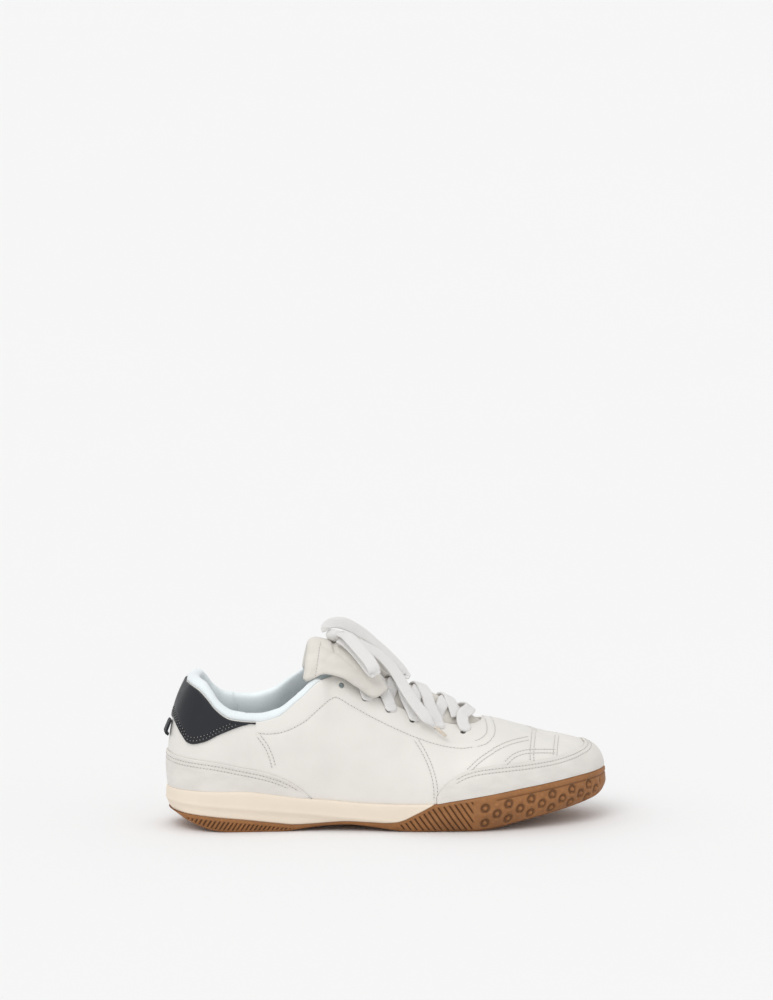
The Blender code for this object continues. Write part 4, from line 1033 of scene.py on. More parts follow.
# Soft folds of the leather, as pixels of the photo
CREASES = [
    dict(route=[(420, 722), (410, 735), (404, 750), (401, 766)], depth=0.0003, width=0.0055),
    dict(route=[(372, 706), (376, 722), (376, 742)], depth=0.0003, width=0.0060),
    dict(route=[(338, 692), (350, 699), (362, 708), (372, 716)], depth=0.0003, width=0.0022),
]

STITCH_SIDES = 5
# Places along a stitch, from end to end, and how high the thread arches there, in thicknesses
STITCH_ARCH = ((-0.5, 0.00), (-0.32, 0.55), (0.0, 0.75), (0.32, 0.55), (0.5, 0.00))
STITCH_LIFT = 0.00010
# Each needle hole: a shallow cone under a flat disc, both dark with painted shade
HOLE_SIDES = 6
HOLE_WIDE = 0.00030
HOLE_LONG = 0.00038
HOLE_DEEP = 0.0004
HOLE_LIFT = 0.00003
LAID_REACH = 0.004


def laid_on(lines, mesh):
    """Lines of points and directions, moved onto a mesh along those directions."""
    tree = BVHTree.FromPolygons([v.co for v in mesh.vertices], [p.vertices[:] for p in mesh.polygons])
    moved = []
    for spots, outs in lines:
        found = []
        for spot, out in zip(spots, unit(outs)):
            hit = tree.ray_cast(Vector(spot + out * LAID_REACH), Vector(-out), 2 * LAID_REACH)[0]
            if hit is not None:
                found.append((np.array(hit), out))
        if len(found) > 2:
            moved.append(tuple(np.array(part) for part in zip(*found)))
    return moved


def turned(centre, first, second, sides):
    """Points round a centre, on the oval that two half axes span."""
    turns = [2 * math.pi * s / sides for s in range(sides)]
    return [centre + first * math.cos(turn) + second * math.sin(turn) for turn in turns]


def stitch_mesh(name, lines, thread_kind, slot):
    """One piece of short thread stitches along lines of points, with a needle hole at the ends of each, dark
    with painted shade.
    """
    pitch, reach, thick = sizes().stitch_pitch, sizes().stitch_length, sizes().thread
    points, faces, kinds = [], [], []
    for spots, outs in lines:
        along = run_along(spots)
        for k in range(int(along[-1] / pitch)):
            middle = (k + 0.5) * pitch
            spot, out, ahead, behind = (
                np.array([np.interp(place, along, values[:, c]) for c in range(3)])
                for values, place in ((spots, middle), (outs, middle), (spots, middle + pitch / 3),
                                      (spots, middle - pitch / 3)))
            run, out = unit(ahead - behind), unit(out)
            side = np.cross(out, run)
            first = len(points)
            for place, up in STITCH_ARCH:
                centre = spot + run * place * reach + out * (STITCH_LIFT + thick * (up - 0.45))
                swell = thick * (0.5 if abs(place) < 0.4 else 0.22)
                points += turned(centre, side * swell, out * swell, STITCH_SIDES)
            last = len(points) - STITCH_SIDES
            for start in range(first, last, STITCH_SIDES):
                for s in range(STITCH_SIDES):
                    a, b = start + s, start + (s + 1) % STITCH_SIDES
                    faces.append((a, b, b + STITCH_SIDES, a + STITCH_SIDES))
            faces.append([first + s for s in reversed(range(STITCH_SIDES))])
            faces.append([last + s for s in range(STITCH_SIDES)])
            kinds += [0] * (len(faces) - len(kinds))
            # The needle hole, dark with painted shade
            mouth = spot + run * pitch / 2 + out * (STITCH_LIFT + HOLE_LIFT)
            rim = len(points)
            points += turned(mouth, side * HOLE_WIDE, run * HOLE_LONG, HOLE_SIDES)
            points.append(mouth - out * HOLE_DEEP)
            faces.append([rim + s for s in range(HOLE_SIDES)])
            faces += [(rim + (s + 1) % HOLE_SIDES, rim + s, rim + HOLE_SIDES) for s in range(HOLE_SIDES)]
            kinds += [1] * (len(faces) - len(kinds))
    mesh = make_mesh(name, np.array(points), faces)
    mesh.polygons.foreach_set("material_index", kinds)
    return make_piece(name, mesh, slot, None, material(thread_kind), material("holes"))


def stitches_on(piece, name, lines, thread_kind, slot):
    """Sews lines of u and share onto a piece."""
    read = [skin().read(line[:, 0], line[:, 1]) for line in lines]
    stitch_mesh(name, laid_on(read, piece.data), thread_kind, slot)


# Pieces

# Turns of the leather's rounded upper edge, in degrees
EDGE_TURNS = (25, 60, 90, 120, 155)
EDGE_BULGE = 0.4


def build_upper():
    net = skin()
    u = net.u[:-1]
    top = leather_top(u)
    shares = np.linspace(0, 1, UPPER_ROWS + 1)
    outer = net.at(u[:, None], shares * top[:, None])
    dip = seam_dip(outer)
    height = waves(outer) - dip
    STORE["relief"] = net.u, np.concatenate([height, height[:1]]), np.concatenate([top, top[:1]])
    closed = np.abs(u) >= RIB_THROAT - 1e-6
    near_end = ease((RIB_THROAT - np.abs(u)) / 0.02)
    turn = np.radians(EDGE_TURNS)
    over = np.sin(turn) * EDGE_BULGE * UPPER_WALL * near_end[:, None] / net.rib_length(u)[:, None]
    down = (np.cos(turn) - 1) / 2 * UPPER_WALL
    back = np.linspace(1, 0, LINING_ROWS + 1)
    points = np.concatenate([net.at(u[:, None], shares * top[:, None], height),
                             net.at(u[:, None], top[:, None] + over, down + height[:, -1:]),
                             net.at(u[:, None], back * top[:, None], -UPPER_WALL)], axis=1)
    faces = net_faces(*points.shape[:2], close_wide=True, close_high=True)
    kinds = np.zeros(faces.shape[:2], int)
    kinds[:, UPPER_ROWS + len(EDGE_TURNS) - 1:] = 1
    keep = np.ones(faces.shape[:2], bool)
    keep[closed & np.roll(closed, -1), UPPER_ROWS:UPPER_ROWS + len(EDGE_TURNS) + 1] = False
    # How deep the seams dip, from 0 to 1, which the leather paints as shade
    depth = np.zeros(points.shape[:2])
    depth[:, :UPPER_ROWS + 1] = dip / max(sizes().seam_depth, GAP / 10)
    mesh = make_mesh("upper_leather", points, faces[keep], sunk_in=depth)
    mesh.polygons.foreach_set("material_index", kinds[keep])
    piece = make_piece("upper_leather", weld(mesh), "white_leather", "upper",
                       *(material(kind) for kind in UPPER_FINISHES))
    punch_eyelets(piece)
    stitches_on(piece, "seam_stitches", seam_lines(), "thread", "white_leather")


# The upper's finishes: its leather, its lining, and painted shade for the eyelets' walls
UPPER_FINISHES = ("leather", "lining", "holes")
PUNCH_SIDES = 24


def punch_eyelets(piece):
    """Cuts the eyelets through the leather, with painted shade on their walls."""
    work = bmesh.new()
    for side in (-1, 1):
        for eyelet in EYELETS:
            u = side * eyelet["rib"]
            spot, out = skin().read(u, net_share(u, eyelet["inset"]))
            place = Matrix.Translation(spot) @ Vector(out).to_track_quat("Z", "Y").to_matrix().to_4x4()
            bmesh.ops.create_cone(work, cap_ends=True, segments=PUNCH_SIDES, radius1=EYELET_RADIUS,
                                  radius2=EYELET_RADIUS, depth=4 * UPPER_WALL, matrix=place)
    mesh = bpy.data.meshes.new("punches")
    work.to_mesh(mesh)
    work.free()
    for kind in UPPER_FINISHES:
        mesh.materials.append(material(kind))
    mesh.polygons.foreach_set("material_index", [UPPER_FINISHES.index("holes")] * len(mesh.polygons))
    cutter = show("punches", mesh)
    cut = piece.modifiers.new("eyelets", "BOOLEAN")
    cut.operation, cut.solver, cut.object = "DIFFERENCE", "MANIFOLD", cutter
    apply_modifiers(piece)
    bpy.data.objects.remove(cutter, do_unlink=True)


def apply_modifiers(piece):
    """Gives the piece the mesh that its modifiers make."""
    graph = bpy.context.evaluated_depsgraph_get()
    mesh = bpy.data.meshes.new_from_object(piece.evaluated_get(graph))
    piece.modifiers.clear()
    if not mesh.polygons:
        raise RuntimeError(f"{piece.name} lost its mesh")
    piece.data = mesh


def net_share(u, distance):
    return float(skin().share_below_top(u, distance))


def relief_at(u, share):
    """The leather's own relief at u and share."""
    us, height, top = STORE["relief"]
    steps = height.shape[1] - 1
    across = cell(np.interp(u, us, np.arange(len(us))), len(us) - 1)
    return blend(height, across, cell(np.clip(share / np.interp(u, us, top), 0, 1) * steps, steps))


def edge_round(distance, wall, radius):
    """The thickness of a panel at a distance from its cut edge."""
    part = np.clip(distance / radius, 0, 1)
    return wall * np.sqrt(np.clip(1 - (1 - part) ** 2, 0, 1))


PANEL_LIFT = 0.00012
PANEL_WAVE = 0.00012
# A cut edge's radius as a share of the wall, and places of the points across it
PANEL_ROUND = 0.55
EDGE_PLACES = (0.0, 0.12, 0.3, 0.6, 1.0)
FINE_WELD = 0.000004


def panel(name, node, kind, thread_kind, u, low, high, wall, steps, seams, rounded_low=False, lift=PANEL_LIFT,
          swell=0.0):
    """A panel sewn on the leather between two edges, with rounded edges where it is cut."""
    net = skin()
    radius = PANEL_ROUND * wall
    length_up = net.rib_length(u)[:, None]
    run = (high - low)[:, None] * length_up
    edge = np.array(EDGE_PLACES) * radius * 1.2
    start = np.broadcast_to(edge[:-1], (len(u), len(edge) - 1))
    middle = between(edge[-1], run - edge[-1], np.linspace(0, 1, steps + 1))
    distance = np.clip(np.concatenate([start, middle, run - start[:, ::-1]], axis=1), 0, run)
    shares = low[:, None] + distance / length_up
    base = net.at(u[:, None], shares)
    from_high = run - distance
    thick = edge_round(from_high, wall, radius)
    if rounded_low:
        thick = np.minimum(thick, edge_round(distance, wall, radius))
    along = run_along(base[:, base.shape[1] // 2])
    to_end = np.minimum(along, along[-1] - along)
    thick = np.minimum(thick, edge_round(to_end, wall, radius)[:, None])
    puff = swell * np.sin(np.pi * np.clip(from_high / np.maximum(run, 1e-6), 0, 1)) * (thick / wall)
    rise = thick + puff + PANEL_WAVE * roll(base, 0.020, 11) * (thick / wall)
    for line in seams:
        spots = net.at(line[:, 0], line[:, 1])
        rise -= sunk(base, spots, sizes().seam_depth, 0.8 * sizes().seam_width) * (thick / wall)
    under = relief_at(np.broadcast_to(u[:, None], shares.shape), shares)
    outer = net.at(u[:, None], shares, lift + under + rise)
    inner_side = net.at(u[:, None], shares, lift + under)
    points = np.concatenate([outer, inner_side[:, ::-1]], axis=1)
    mesh = weld(make_mesh(name, points, tube_faces(*points.shape[:2])), FINE_WELD)
    piece = make_piece(name, mesh, kind, node, material(kind))
    stitches_on(piece, name + "_stitches", seams, thread_kind, kind)


def panel_height(table, u):
    return INSTEP_HEIGHT * curve(table["rib"], table["height"], np.abs(u))


def above_rim(u):
    return skin().share_at_height(u, rim_height(u) + 0.0001)


def table_share(table, u, low, least=TAPER):
    return np.maximum(skin().share_at_height(u, panel_height(table, u)), low + least / skin().rib_length(u))


def inside_line(u, edge_share, inset, trim):
    """A line of u and share that runs inset below an edge, shortened by trim ribs at both ends."""
    share = edge_share - inset / skin().rib_length(u)
    return np.column_stack([u, share])[trim:len(u) - trim]


# Ribs closer than this to a panel's end are left out
RIB_CLEAR = 0.0015


def ribs_between(low, high):
    us = skin().u
    return np.concatenate([[low], us[(us > low + RIB_CLEAR) & (us < high - RIB_CLEAR)], [high]])


def build_heel_foxing():
    end = FOXING_EDGE["rib"][-1]
    u = ribs_between(-end, end)
    low = above_rim(u)
    high = table_share(FOXING_EDGE, u, low, 0.0002)
    seams = [inside_line(u, high, inset, trim) for inset, trim in ((0.0026, 8), (0.0050, 14))]
    panel("heel_foxing_suede", "heel_foxing", "suede", "thread", u, low, high, OVERLAY_WALL, 26, seams)


def build_heel_tab():
    end = TAB_EDGE["rib"][-1]
    u = ribs_between(-end, end)
    high = leather_top(u)
    low = np.minimum(skin().share_at_height(u, panel_height(TAB_EDGE, u)),
                     high - TAPER / skin().rib_length(u))
    seams = [inside_line(u, low, -inset, 9) for inset in (0.0024, 0.0046)]
    seams = [line[np.interp(line[:, 0], u, high) - line[:, 1] > 0.02] for line in seams]
    panel("heel_tab_leather", "heel_tab", "dark_leather", "dark_thread", u, low, high, TAB_WALL, 30, seams,
          rounded_low=True)


def build_toe_guard():
    start = GUARD_EDGE["rib"][0]
    us = skin().u
    lateral = us[(us > -1) & (us < -start - RIB_CLEAR)][::-1]
    medial = us[us > start + RIB_CLEAR][::-1]
    u = np.concatenate([[-start], lateral, medial, [start]])
    low = above_rim(u)
    high = table_share(GUARD_EDGE, u, low)
    seams = [inside_line(u, high, inset, 12) for inset in (0.0022, 0.0046)]
    panel("toe_guard_suede", "toe_guard", "suede", "thread", u, low, high, OVERLAY_WALL, 34, seams,
          lift=0.00025, swell=0.0003)


def cuff_section(u):
    """Distance below the top of the cuff and distance off the upper's surface, round one section."""
    drop = CUFF_DEPTH * float(curve(CUFF_BAND["rib"], CUFF_BAND["drop"], abs(u)))
    lip = max(drop - GAP, TAPER)
    inside = -(UPPER_WALL + GAP)
    slim = between(1.0, 0.40, float(ease((abs(u) - 0.31) / 0.07)))
    pad = CUFF_PAD * slim
    deep = CUFF_DEPTH * between(1.0, 0.7, float(ease((abs(u) - 0.33) / 0.07)))
    return [(lip, 0.0), (0.55 * lip, 0.0006), (0.10 * lip, 0.0), (-0.0016, inside * 0.6),
            (-0.0022, inside - 0.35 * pad), (-0.0006, inside - 0.80 * pad), (0.25 * deep, inside - pad),
            (0.60 * deep, inside - 0.85 * pad), (0.90 * deep, inside - 0.40 * pad), (deep, inside - GAP),
            (0.60 * deep, inside - GAP), (lip, inside - GAP)]


def rounded_ring(points, rounds):
    """A closed ring of points with its corners cut, rounds times over."""
    ring = np.asarray(points, float)
    for _ in range(rounds):
        ahead = np.roll(ring, -1, axis=0)
        ring = np.stack([ring * 0.75 + ahead * 0.25, ring * 0.25 + ahead * 0.75], axis=1).reshape(-1, 2)
    return ring


def steps_in(count):
    """How many steps each of a row's places lies in from the nearer end."""
    return np.minimum(np.arange(count), np.arange(count)[::-1])


CUFF_CLOSING = 5.0
CUFF_WAVE = 0.00018


def build_cuff():
    net = skin()
    u = ribs_between(-CUFF_END, CUFF_END)
    points = []
    for value in u:
        ring = rounded_ring(cuff_section(value), 2)
        points.append(net.at(np.full(len(ring), value), 1 - ring[:, 0] / net.rib_length(value), ring[:, 1]))
    points = np.array(points)
    close_in = np.clip(1 - steps_in(len(u)) / CUFF_CLOSING, 0, 1)
    shrink = 1 - np.sqrt(np.clip(1 - close_in ** 2, 0, 1))
    centre = points.mean(axis=1, keepdims=True)
    points = points + (centre - points) * (0.97 * shrink)[:, None, None]
    points += unit(points - centre) * (CUFF_WAVE * roll(points, 0.018, 21))[..., None]
    mesh = weld(make_mesh("collar_padding", points, tube_faces(*points.shape[:2])), FINE_WELD)
    piece = make_piece("collar_padding", mesh, "lining_fabric", "collar_cuff", material("lining"))


# The rows of points under and over the foot draw in to a line inside the sole, between these stations
HEART_ENDS = (0.13, 0.86)


def heart_line(u):
    middle = np.clip(rib_station(np.abs(u)), *HEART_ENDS)
    return np.column_stack([station_x(middle), centre_y(middle)])


def build_insole():
    u = skin().u[:-1:2]
    inset = RIM_WALL + GAP + UPPER_WALL + 3 * GAP
    heart, edge = heart_line(u), feather(u, inset)
    profile = [(0.0, 0.0), (0.5, 0.0), (0.97, 0.0), (0.995, 0.25), (1.0, 0.6), (0.99, 0.9), (0.97, 1.0)]
    profile += [(share, 1.0) for share in np.linspace(0.93, 0.0, 18)]
    rows = []
    for share, lift in profile:
        plan = heart + (edge - heart) * share
        height = stack(FOOT_BED, station_of(plan[:, 0])) + GAP + (INSOLE_THICKNESS - GAP) * lift
        rows.append(np.column_stack([plan, height]))
    points = np.stack(rows, axis=1)
    points[:, 7:, 2] += 0.0002 * roll(points[:, 7:], 0.03, 31)
    faces = net_faces(*points.shape[:2], close_wide=True)
    mesh = weld(make_mesh("insole_fabric", points, faces.reshape(-1, 4)))
    make_piece("insole_fabric", mesh, "lining_fabric", "insole", material("lining"))


# Bands: laces and webbing

def band_ring(width, thickness):
    """Across and out places round a flat band with full round edges."""
    half, deep = width / 2, thickness / 2
    flat = half - deep
    ring = [(x, -deep) for x in np.linspace(-flat, flat, 5)]
    ring += [(flat + deep * math.sin(a), -deep * math.cos(a)) for a in np.radians([45, 90, 135])]
    ring += [(x, deep) for x in np.linspace(flat, -flat, 5)]
    ring += [(-flat - deep * math.sin(a), deep * math.cos(a)) for a in np.radians([45, 90, 135])]
    return np.array(ring)


def band_mesh(name, points, normals, width, thickness, widths=None, curl=None):
    """A flat woven band along points, whose flat side faces normals. widths narrows it in places."""
    points = np.asarray(points, float)
    run = unit(np.gradient(points, axis=0))
    across = unit(np.cross(run, normals))
    out = unit(np.cross(across, run))
    ring = band_ring(width, thickness)
    widths = np.ones(len(points)) if widths is None else widths
    curl = np.zeros(len(points)) if curl is None else curl
    side = ring[None, :, 0] * widths[:, None]
    lift = ring[None, :, 1] + curl[:, None] * (ring[None, :, 0] / (width / 2)) ** 2
    net = points[:, None] + across[:, None] * side[..., None] + out[:, None] * lift[..., None]
    mesh = make_mesh(name, net, tube_faces(*net.shape[:2]))
    flat = np.stack(np.broadcast_arrays(run_along(points)[:, None], ring[None, :, 0]), axis=-1)
    paint_uv(mesh, flat.reshape(-1, 2))
    return weld(mesh, 0)


def join_meshes(name, meshes):
    work = bmesh.new()
    for mesh in meshes:
        work.from_mesh(mesh)
        bpy.data.meshes.remove(mesh)
    mesh = bpy.data.meshes.new(name)
    work.to_mesh(mesh)
    work.free()
    return mesh


# Where the loop leaves and meets the heel, and how far it stands off from its upper end to its lower one
LOOP_ENDS = (0.695, 0.600)
LOOP_STAND = (0, 0.15, 0.80, 0.93, 1), (0, 0.25, 0.95, 0.80, 0)


def build_pull_loop():
    start, end = (float(skin().share_at_height(0.0, share * INSTEP_HEIGHT)) for share in LOOP_ENDS)
    k = np.linspace(0, 1, 41)
    stand = GAP + LOOP_THICKNESS / 2 + LOOP_STAND_OFF * np.interp(k, *LOOP_STAND)
    points, normals = skin().read(np.zeros(len(k)), between(start, end, k), stand)
    mesh = band_mesh("heel_pull_loop", points, normals, LOOP_WIDTH, 1.4 * LOOP_THICKNESS)
    make_piece("heel_pull_loop", mesh, "dark_webbing", "pull_loop", material("webbing"))


# Tongue

def leaf_offset(rib):
    """How deep the leaf lies below the upper's surface. It dips behind the ends of the cuff."""
    dip = CUFF_PAD * 0.6 * ease((0.455 - rib) / 0.04) + VAMP_ROOM * ease((rib - 0.56) / 0.06)
    return -(UPPER_WALL + 2.5 * GAP + TONGUE_THICKNESS / 2 + dip)


# The tongue arches between these places across it, and lies under the eyestays past them
LEAF_ARCH = 0.7


def leaf_point(rib, across):
    """The middle of the tongue's lower leaf. across runs from -1 to 1."""
    offset = leaf_offset(rib)
    if abs(across) >= LEAF_ARCH:
        u = math.copysign(rib, across)
        tuck = (TONGUE_TUCK * (abs(across) - LEAF_ARCH) / (1 - LEAF_ARCH)
                * between(1.0, 0.4, ease((0.455 - rib) / 0.04)))
        return skin().at(u, net_share(u, tuck), offset)
    ends, arrives = [], []
    for side in (-1, 1):
        u = side * rib
        ends.append(skin().at(u, 1 + TONGUE_RUN_IN / float(skin().rib_length(u)), offset))
        arrives.append(unit(skin().at(u, 1.0) - skin().at(u, 0.97)))
    rise = INSTEP_HEIGHT * curve(TONGUE_RISE["rib"], TONGUE_RISE["rise"], rib)
    handle = 0.42 * np.linalg.norm(ends[1] - ends[0])
    first, second = (end + arrive * handle for end, arrive in zip(ends, arrives))
    for control, arrive in zip((first, second), arrives):
        control[2] += rise / 0.75 - arrive[2] * handle
    return bezier(ends[0], first, second, ends[1], (across / LEAF_ARCH + 1) / 2)


def leaf_row(rib, across):
    """The lower leaf narrows behind the eyestays to pass between the ends of the cuff."""
    wide = between(1.0, 0.62, ease((0.475 - rib) / 0.05))
    return np.array([leaf_point(rib, a * wide) for a in across])


def flap_row(place, across):
    """One section of the flap, over its crest. place runs from its fold, 0, to its edge, 5."""
    row = {name: float(curve(range(FLAP_LINES), line, place)) for name, line in FLAP.items()}
    turn = math.pi / 2 * across
    station = between(row["crest"], row["edge"], across * across) + FLAP_SKEW * across
    height = between(row["edge_height"], row["crest_height"], np.cos(turn))
    side = BALL_WIDTH * row["half"] * np.sin(turn)
    return np.column_stack([station_x(station), centre_y(station) + side, INSTEP_HEIGHT * height])


ACROSS = 72
LEAF_ROWS = 56
FOLD_ROWS = 14
FLAP_ROWS = 44


def tongue_net():
    across = np.linspace(-1, 1, ACROSS + 1)
    lower = [leaf_row(rib, across) for rib in np.linspace(TONGUE_ENDS, RIB_CORNER, LEAF_ROWS)]
    tip = [lower[0] + np.array(TONGUE_TIP) * share for share in (1.0, 0.75, 0.5, 0.25)]
    flap = [flap_row(place, across) for place in np.linspace(0, FLAP_LINES - 1, FLAP_ROWS)]
    first = lower[-1] + unit(lower[-1] - lower[-4]) * FLAP_REACH / 0.75
    second = flap[0] + unit(flap[0] - flap[3]) * FLAP_REACH / 0.75
    fold = [bezier(lower[-1], first, second, flap[0], t) for t in np.linspace(0, 1, FOLD_ROWS + 2)[1:-1]]
    return np.array(tip + lower + fold + flap)


# The seam of the tongue's fold band, as pixels of the photo
FOLD_SEAM = [(319, 641), (317, 650), (315.5, 662), (314, 672), (313, 679)]
# Dips in the tongue: a route, how deep it is and how wide. The second is the slit for the lace
TONGUE_DIPS = [
    (FOLD_SEAM, 0.0014, 0.0012),
    ([(333, 640), (334, 645), (335.5, 651)], 0.0022, 0.0011),
    ([(322, 645), (327, 648), (331, 650)], 0.0007, 0.0016),
    ([(338, 652), (345, 659), (352, 665)], 0.0007, 0.0016),
    ([(326, 660), (330, 655), (333, 652)], 0.0007, 0.0016),
]


def cast_on(net, route):
    """The points of a net of points that a route of pixels falls on."""
    faces = [tuple(int(v) for v in f) for f in net_faces(*net.shape[:2]).reshape(-1, 4)]
    tree = BVHTree.FromPolygons([Vector(p) for p in net.reshape(-1, 3)], faces)
    spots, outs = [], []
    for pixel, row in smooth_line(route, 0.8):
        eye, ray = pixel_ray(pixel, row)
        spot, out, _, _ = tree.ray_cast(Vector(eye), Vector(ray))
        if spot is not None:
            spots.append(np.array(spot))
            outs.append(np.array(out) * (-1 if out.dot(Vector(ray)) > 0 else 1))
    return np.array(spots), np.array(outs)


TONGUE_ROUND = 0.0019
TONGUE_WAVE = 0.00035
STITCH_ASIDE = 2.2


def build_tongue():
    net = tongue_net()
    out = net_normals(net)
    if out[np.unravel_index(net[..., 2].argmax(), net.shape[:2])][2] < 0:
        out = -out
    step_rows = np.linalg.norm(np.diff(net, axis=0), axis=2).mean(axis=1)
    along = np.concatenate([[0], np.cumsum(step_rows)])
    from_ends = np.minimum(along, along[-1] - along)[:, None]
    step_across = np.linalg.norm(np.diff(net, axis=1), axis=2)
    beside = np.concatenate([np.zeros((net.shape[0], 1)), np.cumsum(step_across, axis=1)], axis=1)
    from_sides = np.minimum(beside, beside[:, -1:] - beside)
    half = TONGUE_THICKNESS / 2
    thick = np.minimum(edge_round(from_ends, half, TONGUE_ROUND), edge_round(from_sides, half, TONGUE_ROUND))
    outer = net + out * thick[..., None]
    inner = net - out * thick[..., None]
    rise = TONGUE_WAVE * roll(outer, 0.022, 41)
    for route, deep, wide in TONGUE_DIPS:
        rise -= sunk(outer, cast_on(outer, route)[0], deep, wide)
    outer += out * (rise * thick / half)[..., None]
    wide, high = net.shape[:2]
    points = np.concatenate([outer.reshape(-1, 3), inner.reshape(-1, 3)])
    top = net_faces(wide, high).reshape(-1, 4)
    bottom = top[:, ::-1] + wide * high
    ring = ([(i, 0) for i in range(wide)] + [(wide - 1, j) for j in range(1, high)]
            + [(i, high - 1) for i in range(wide - 2, -1, -1)] + [(0, j) for j in range(high - 2, 0, -1)])
    ring = [i * high + j for i, j in ring]
    wall = [(a, b, b + wide * high, a + wide * high) for a, b in zip(ring, ring[1:] + ring[:1])]
    mesh = weld(make_mesh("tongue_suede", points, [*top, *bottom, *wall]), 0.00001)
    make_piece("tongue_suede", mesh, "suede", "tongue", material("tongue"))
    seam = cast_on(outer, [(pixel + STITCH_ASIDE, row) for pixel, row in FOLD_SEAM])
    stitch_mesh("tongue_stitches", [seam], "thread", "suede")


# Laces through the eyelets
# A lace comes up on the toe's side of its eyelet, and hides half of the hole

LOBE_SHIFT = 0.0058
LOBE_RADIUS = 0.0040
BAND_STEP = 0.0007
BAR_SMOOTHING = 24
# The top crossing ends on the tongue, which is narrow there
TOP_END = -0.56


def tongue_top(rib, across, lift):
    """A point above the tongue's lower leaf, and the direction out of it."""
    here = leaf_point(rib, across)
    out = np.cross(leaf_point(rib + 0.01, across) - leaf_point(rib - 0.01, across),
                   leaf_point(rib, across + 0.05) - leaf_point(rib, across - 0.05))
    out = out * math.copysign(1 / np.linalg.norm(out), out[2])
    return here + out * (TONGUE_THICKNESS / 2 + lift), out


def over_eyestay(side, eyelet, clear=0.0):
    """From beside an eyelet, where the lace comes up, over the leather to the edge of the eyestay."""
    thickness = sizes().lace_thickness
    rest = GAP + thickness / 2 + clear
    steps = [(1.00, -0.2 * thickness, 0.0), (0.86, 0.35 * rest + 0.1 * thickness, 0.0), (0.70, rest, 0.2),
             (0.42, rest, 0.6), (0.0, 3 * GAP + thickness / 2 + clear, 1.0)]
    path = []
    for share_of_inset, lift, back in steps:
        u = side * (eyelet["rib"] + LOBE_SHIFT * (1 - back))
        share = net_share(u, share_of_inset * eyelet["inset"])
        path.append(skin().read(u, share, lift))
    return path


def crossing_path(start, side, end, from_eyelet, over):
    """Out of an eyelet, over the tongue and under the far eyestay, where the lace dives in."""
    thickness = sizes().lace_thickness
    base, layer = 3 * GAP + thickness / 2, thickness + GAP
    path = over_eyestay(side, start) if from_eyelet else []
    last = -0.72 if end["rib"] > EYELETS[0]["rib"] else TOP_END
    for move in np.linspace(0, 1, 9):
        across = side * between(0.52, last, move)
        rib = between(start["rib"], end["rib"], between(0.20, 0.92, move))
        above = layer * (1 - float(ease(move / 0.4))) if from_eyelet else 0.0
        crossed = over * 0.5 * layer * math.exp(-((move - 0.42) / 0.2) ** 2)
        sink = -(base + 0.0010) * float(ease((move - 0.72) / 0.28))
        path.append(tongue_top(rib, across, base + above + crossed + sink))
    return path


def lace_band(path):
    """A lace's points and normals, a fine smooth line along a path of both."""
    both = np.hstack([np.array([p for p, _ in path]), 0.02 * unit(np.array([n for _, n in path]))])
    fine = smooth_line(both, BAND_STEP)
    points, normals = fine[:, :3], unit(fine[:, 3:])
    for _ in range(3):
        normals[1:-1] = unit(normals[:-2] + 2 * normals[1:-1] + normals[2:])
    return points, normals


def eyelet_widths(count, at_start, at_end):
    """Round at an eyelet, and the full width a few millimetres on."""
    place = np.arange(count) * BAND_STEP
    widths = np.ones(count)
    for wanted, from_end in ((at_start, place), (at_end, place[::-1])):
        if wanted:
            part = np.clip(from_end / LOBE_RADIUS, 0, 1)
            widths = np.minimum(widths, np.sqrt(np.clip(1 - (1 - part) ** 2, 0.04, 1)))
    return widths


BAR_REACH = 0.45
BAR_BOW = 0.014
# How far a lace's sides curl down where it is narrow
LACE_CURL = 0.001


def lace_mesh(name, points, normals, widths):
    return band_mesh(name, points, normals, sizes().lace_width, sizes().lace_thickness, widths,
                     -LACE_CURL * (1 - widths))


def build_crossings():
    last = len(EYELETS) - 1
    for i in range(last):
        meshes = []
        for side in (-1, 1):
            from_eyelet = i + 1 < last
            points, normals = lace_band(crossing_path(EYELETS[i + 1], side, EYELETS[i], from_eyelet, -side))
            widths = eyelet_widths(len(points), from_eyelet, False)
            meshes.append(lace_mesh(f"lace_{i}_{side}", points, normals, widths))
        mesh = join_meshes(f"lace_crossing_{i + 1}_woven", meshes)
        make_piece(f"lace_crossing_{i + 1}_woven", mesh, "lace", f"lace_crossing_{i + 1}", material("lace"))
    arch = []
    for across in np.linspace(-BAR_REACH, BAR_REACH, 7):
        bowed = EYELETS[-1]["rib"] + BAR_BOW * (1 - (across / BAR_REACH) ** 2)
        arch.append(tongue_top(bowed, across, 1.6 * sizes().lace_thickness + 4 * GAP))
    path = over_eyestay(-1, EYELETS[-1], GAP) + arch + over_eyestay(1, EYELETS[-1], GAP)[::-1]
    points, normals = lace_band(path)
    for _ in range(BAR_SMOOTHING):
        points[1:-1] = (points[:-2] + 2 * points[1:-1] + points[2:]) / 4
    mesh = lace_mesh("lace_bar_woven", points, normals, eyelet_widths(len(points), True, True))
    make_piece("lace_bar_woven", mesh, "lace", "lace_bar", material("lace"))


# The bow: free cords

def from_heel(places):
    """Places in millimetres from the back of the heel, in the part's own frame."""
    return np.array(places) * MILLIMETRE - np.array([HEEL_REST, 0.0, 0.0])


def bow_line(name):
    """A cord's points and normals, a fine smooth line through its route."""
    route = from_heel(BOW[name])
    points = smooth_line(route, BAND_STEP)
    facing = BOW_FACING[name]
    place = np.linspace(0, 1, len(points))
    normals = np.column_stack([np.interp(place, facing["place"], [way[k] for way in facing["way"]])
                               for k in range(3)])
    return points, unit(normals)


TIP_STEPS = 15
TIP_WIDTH = 0.0023


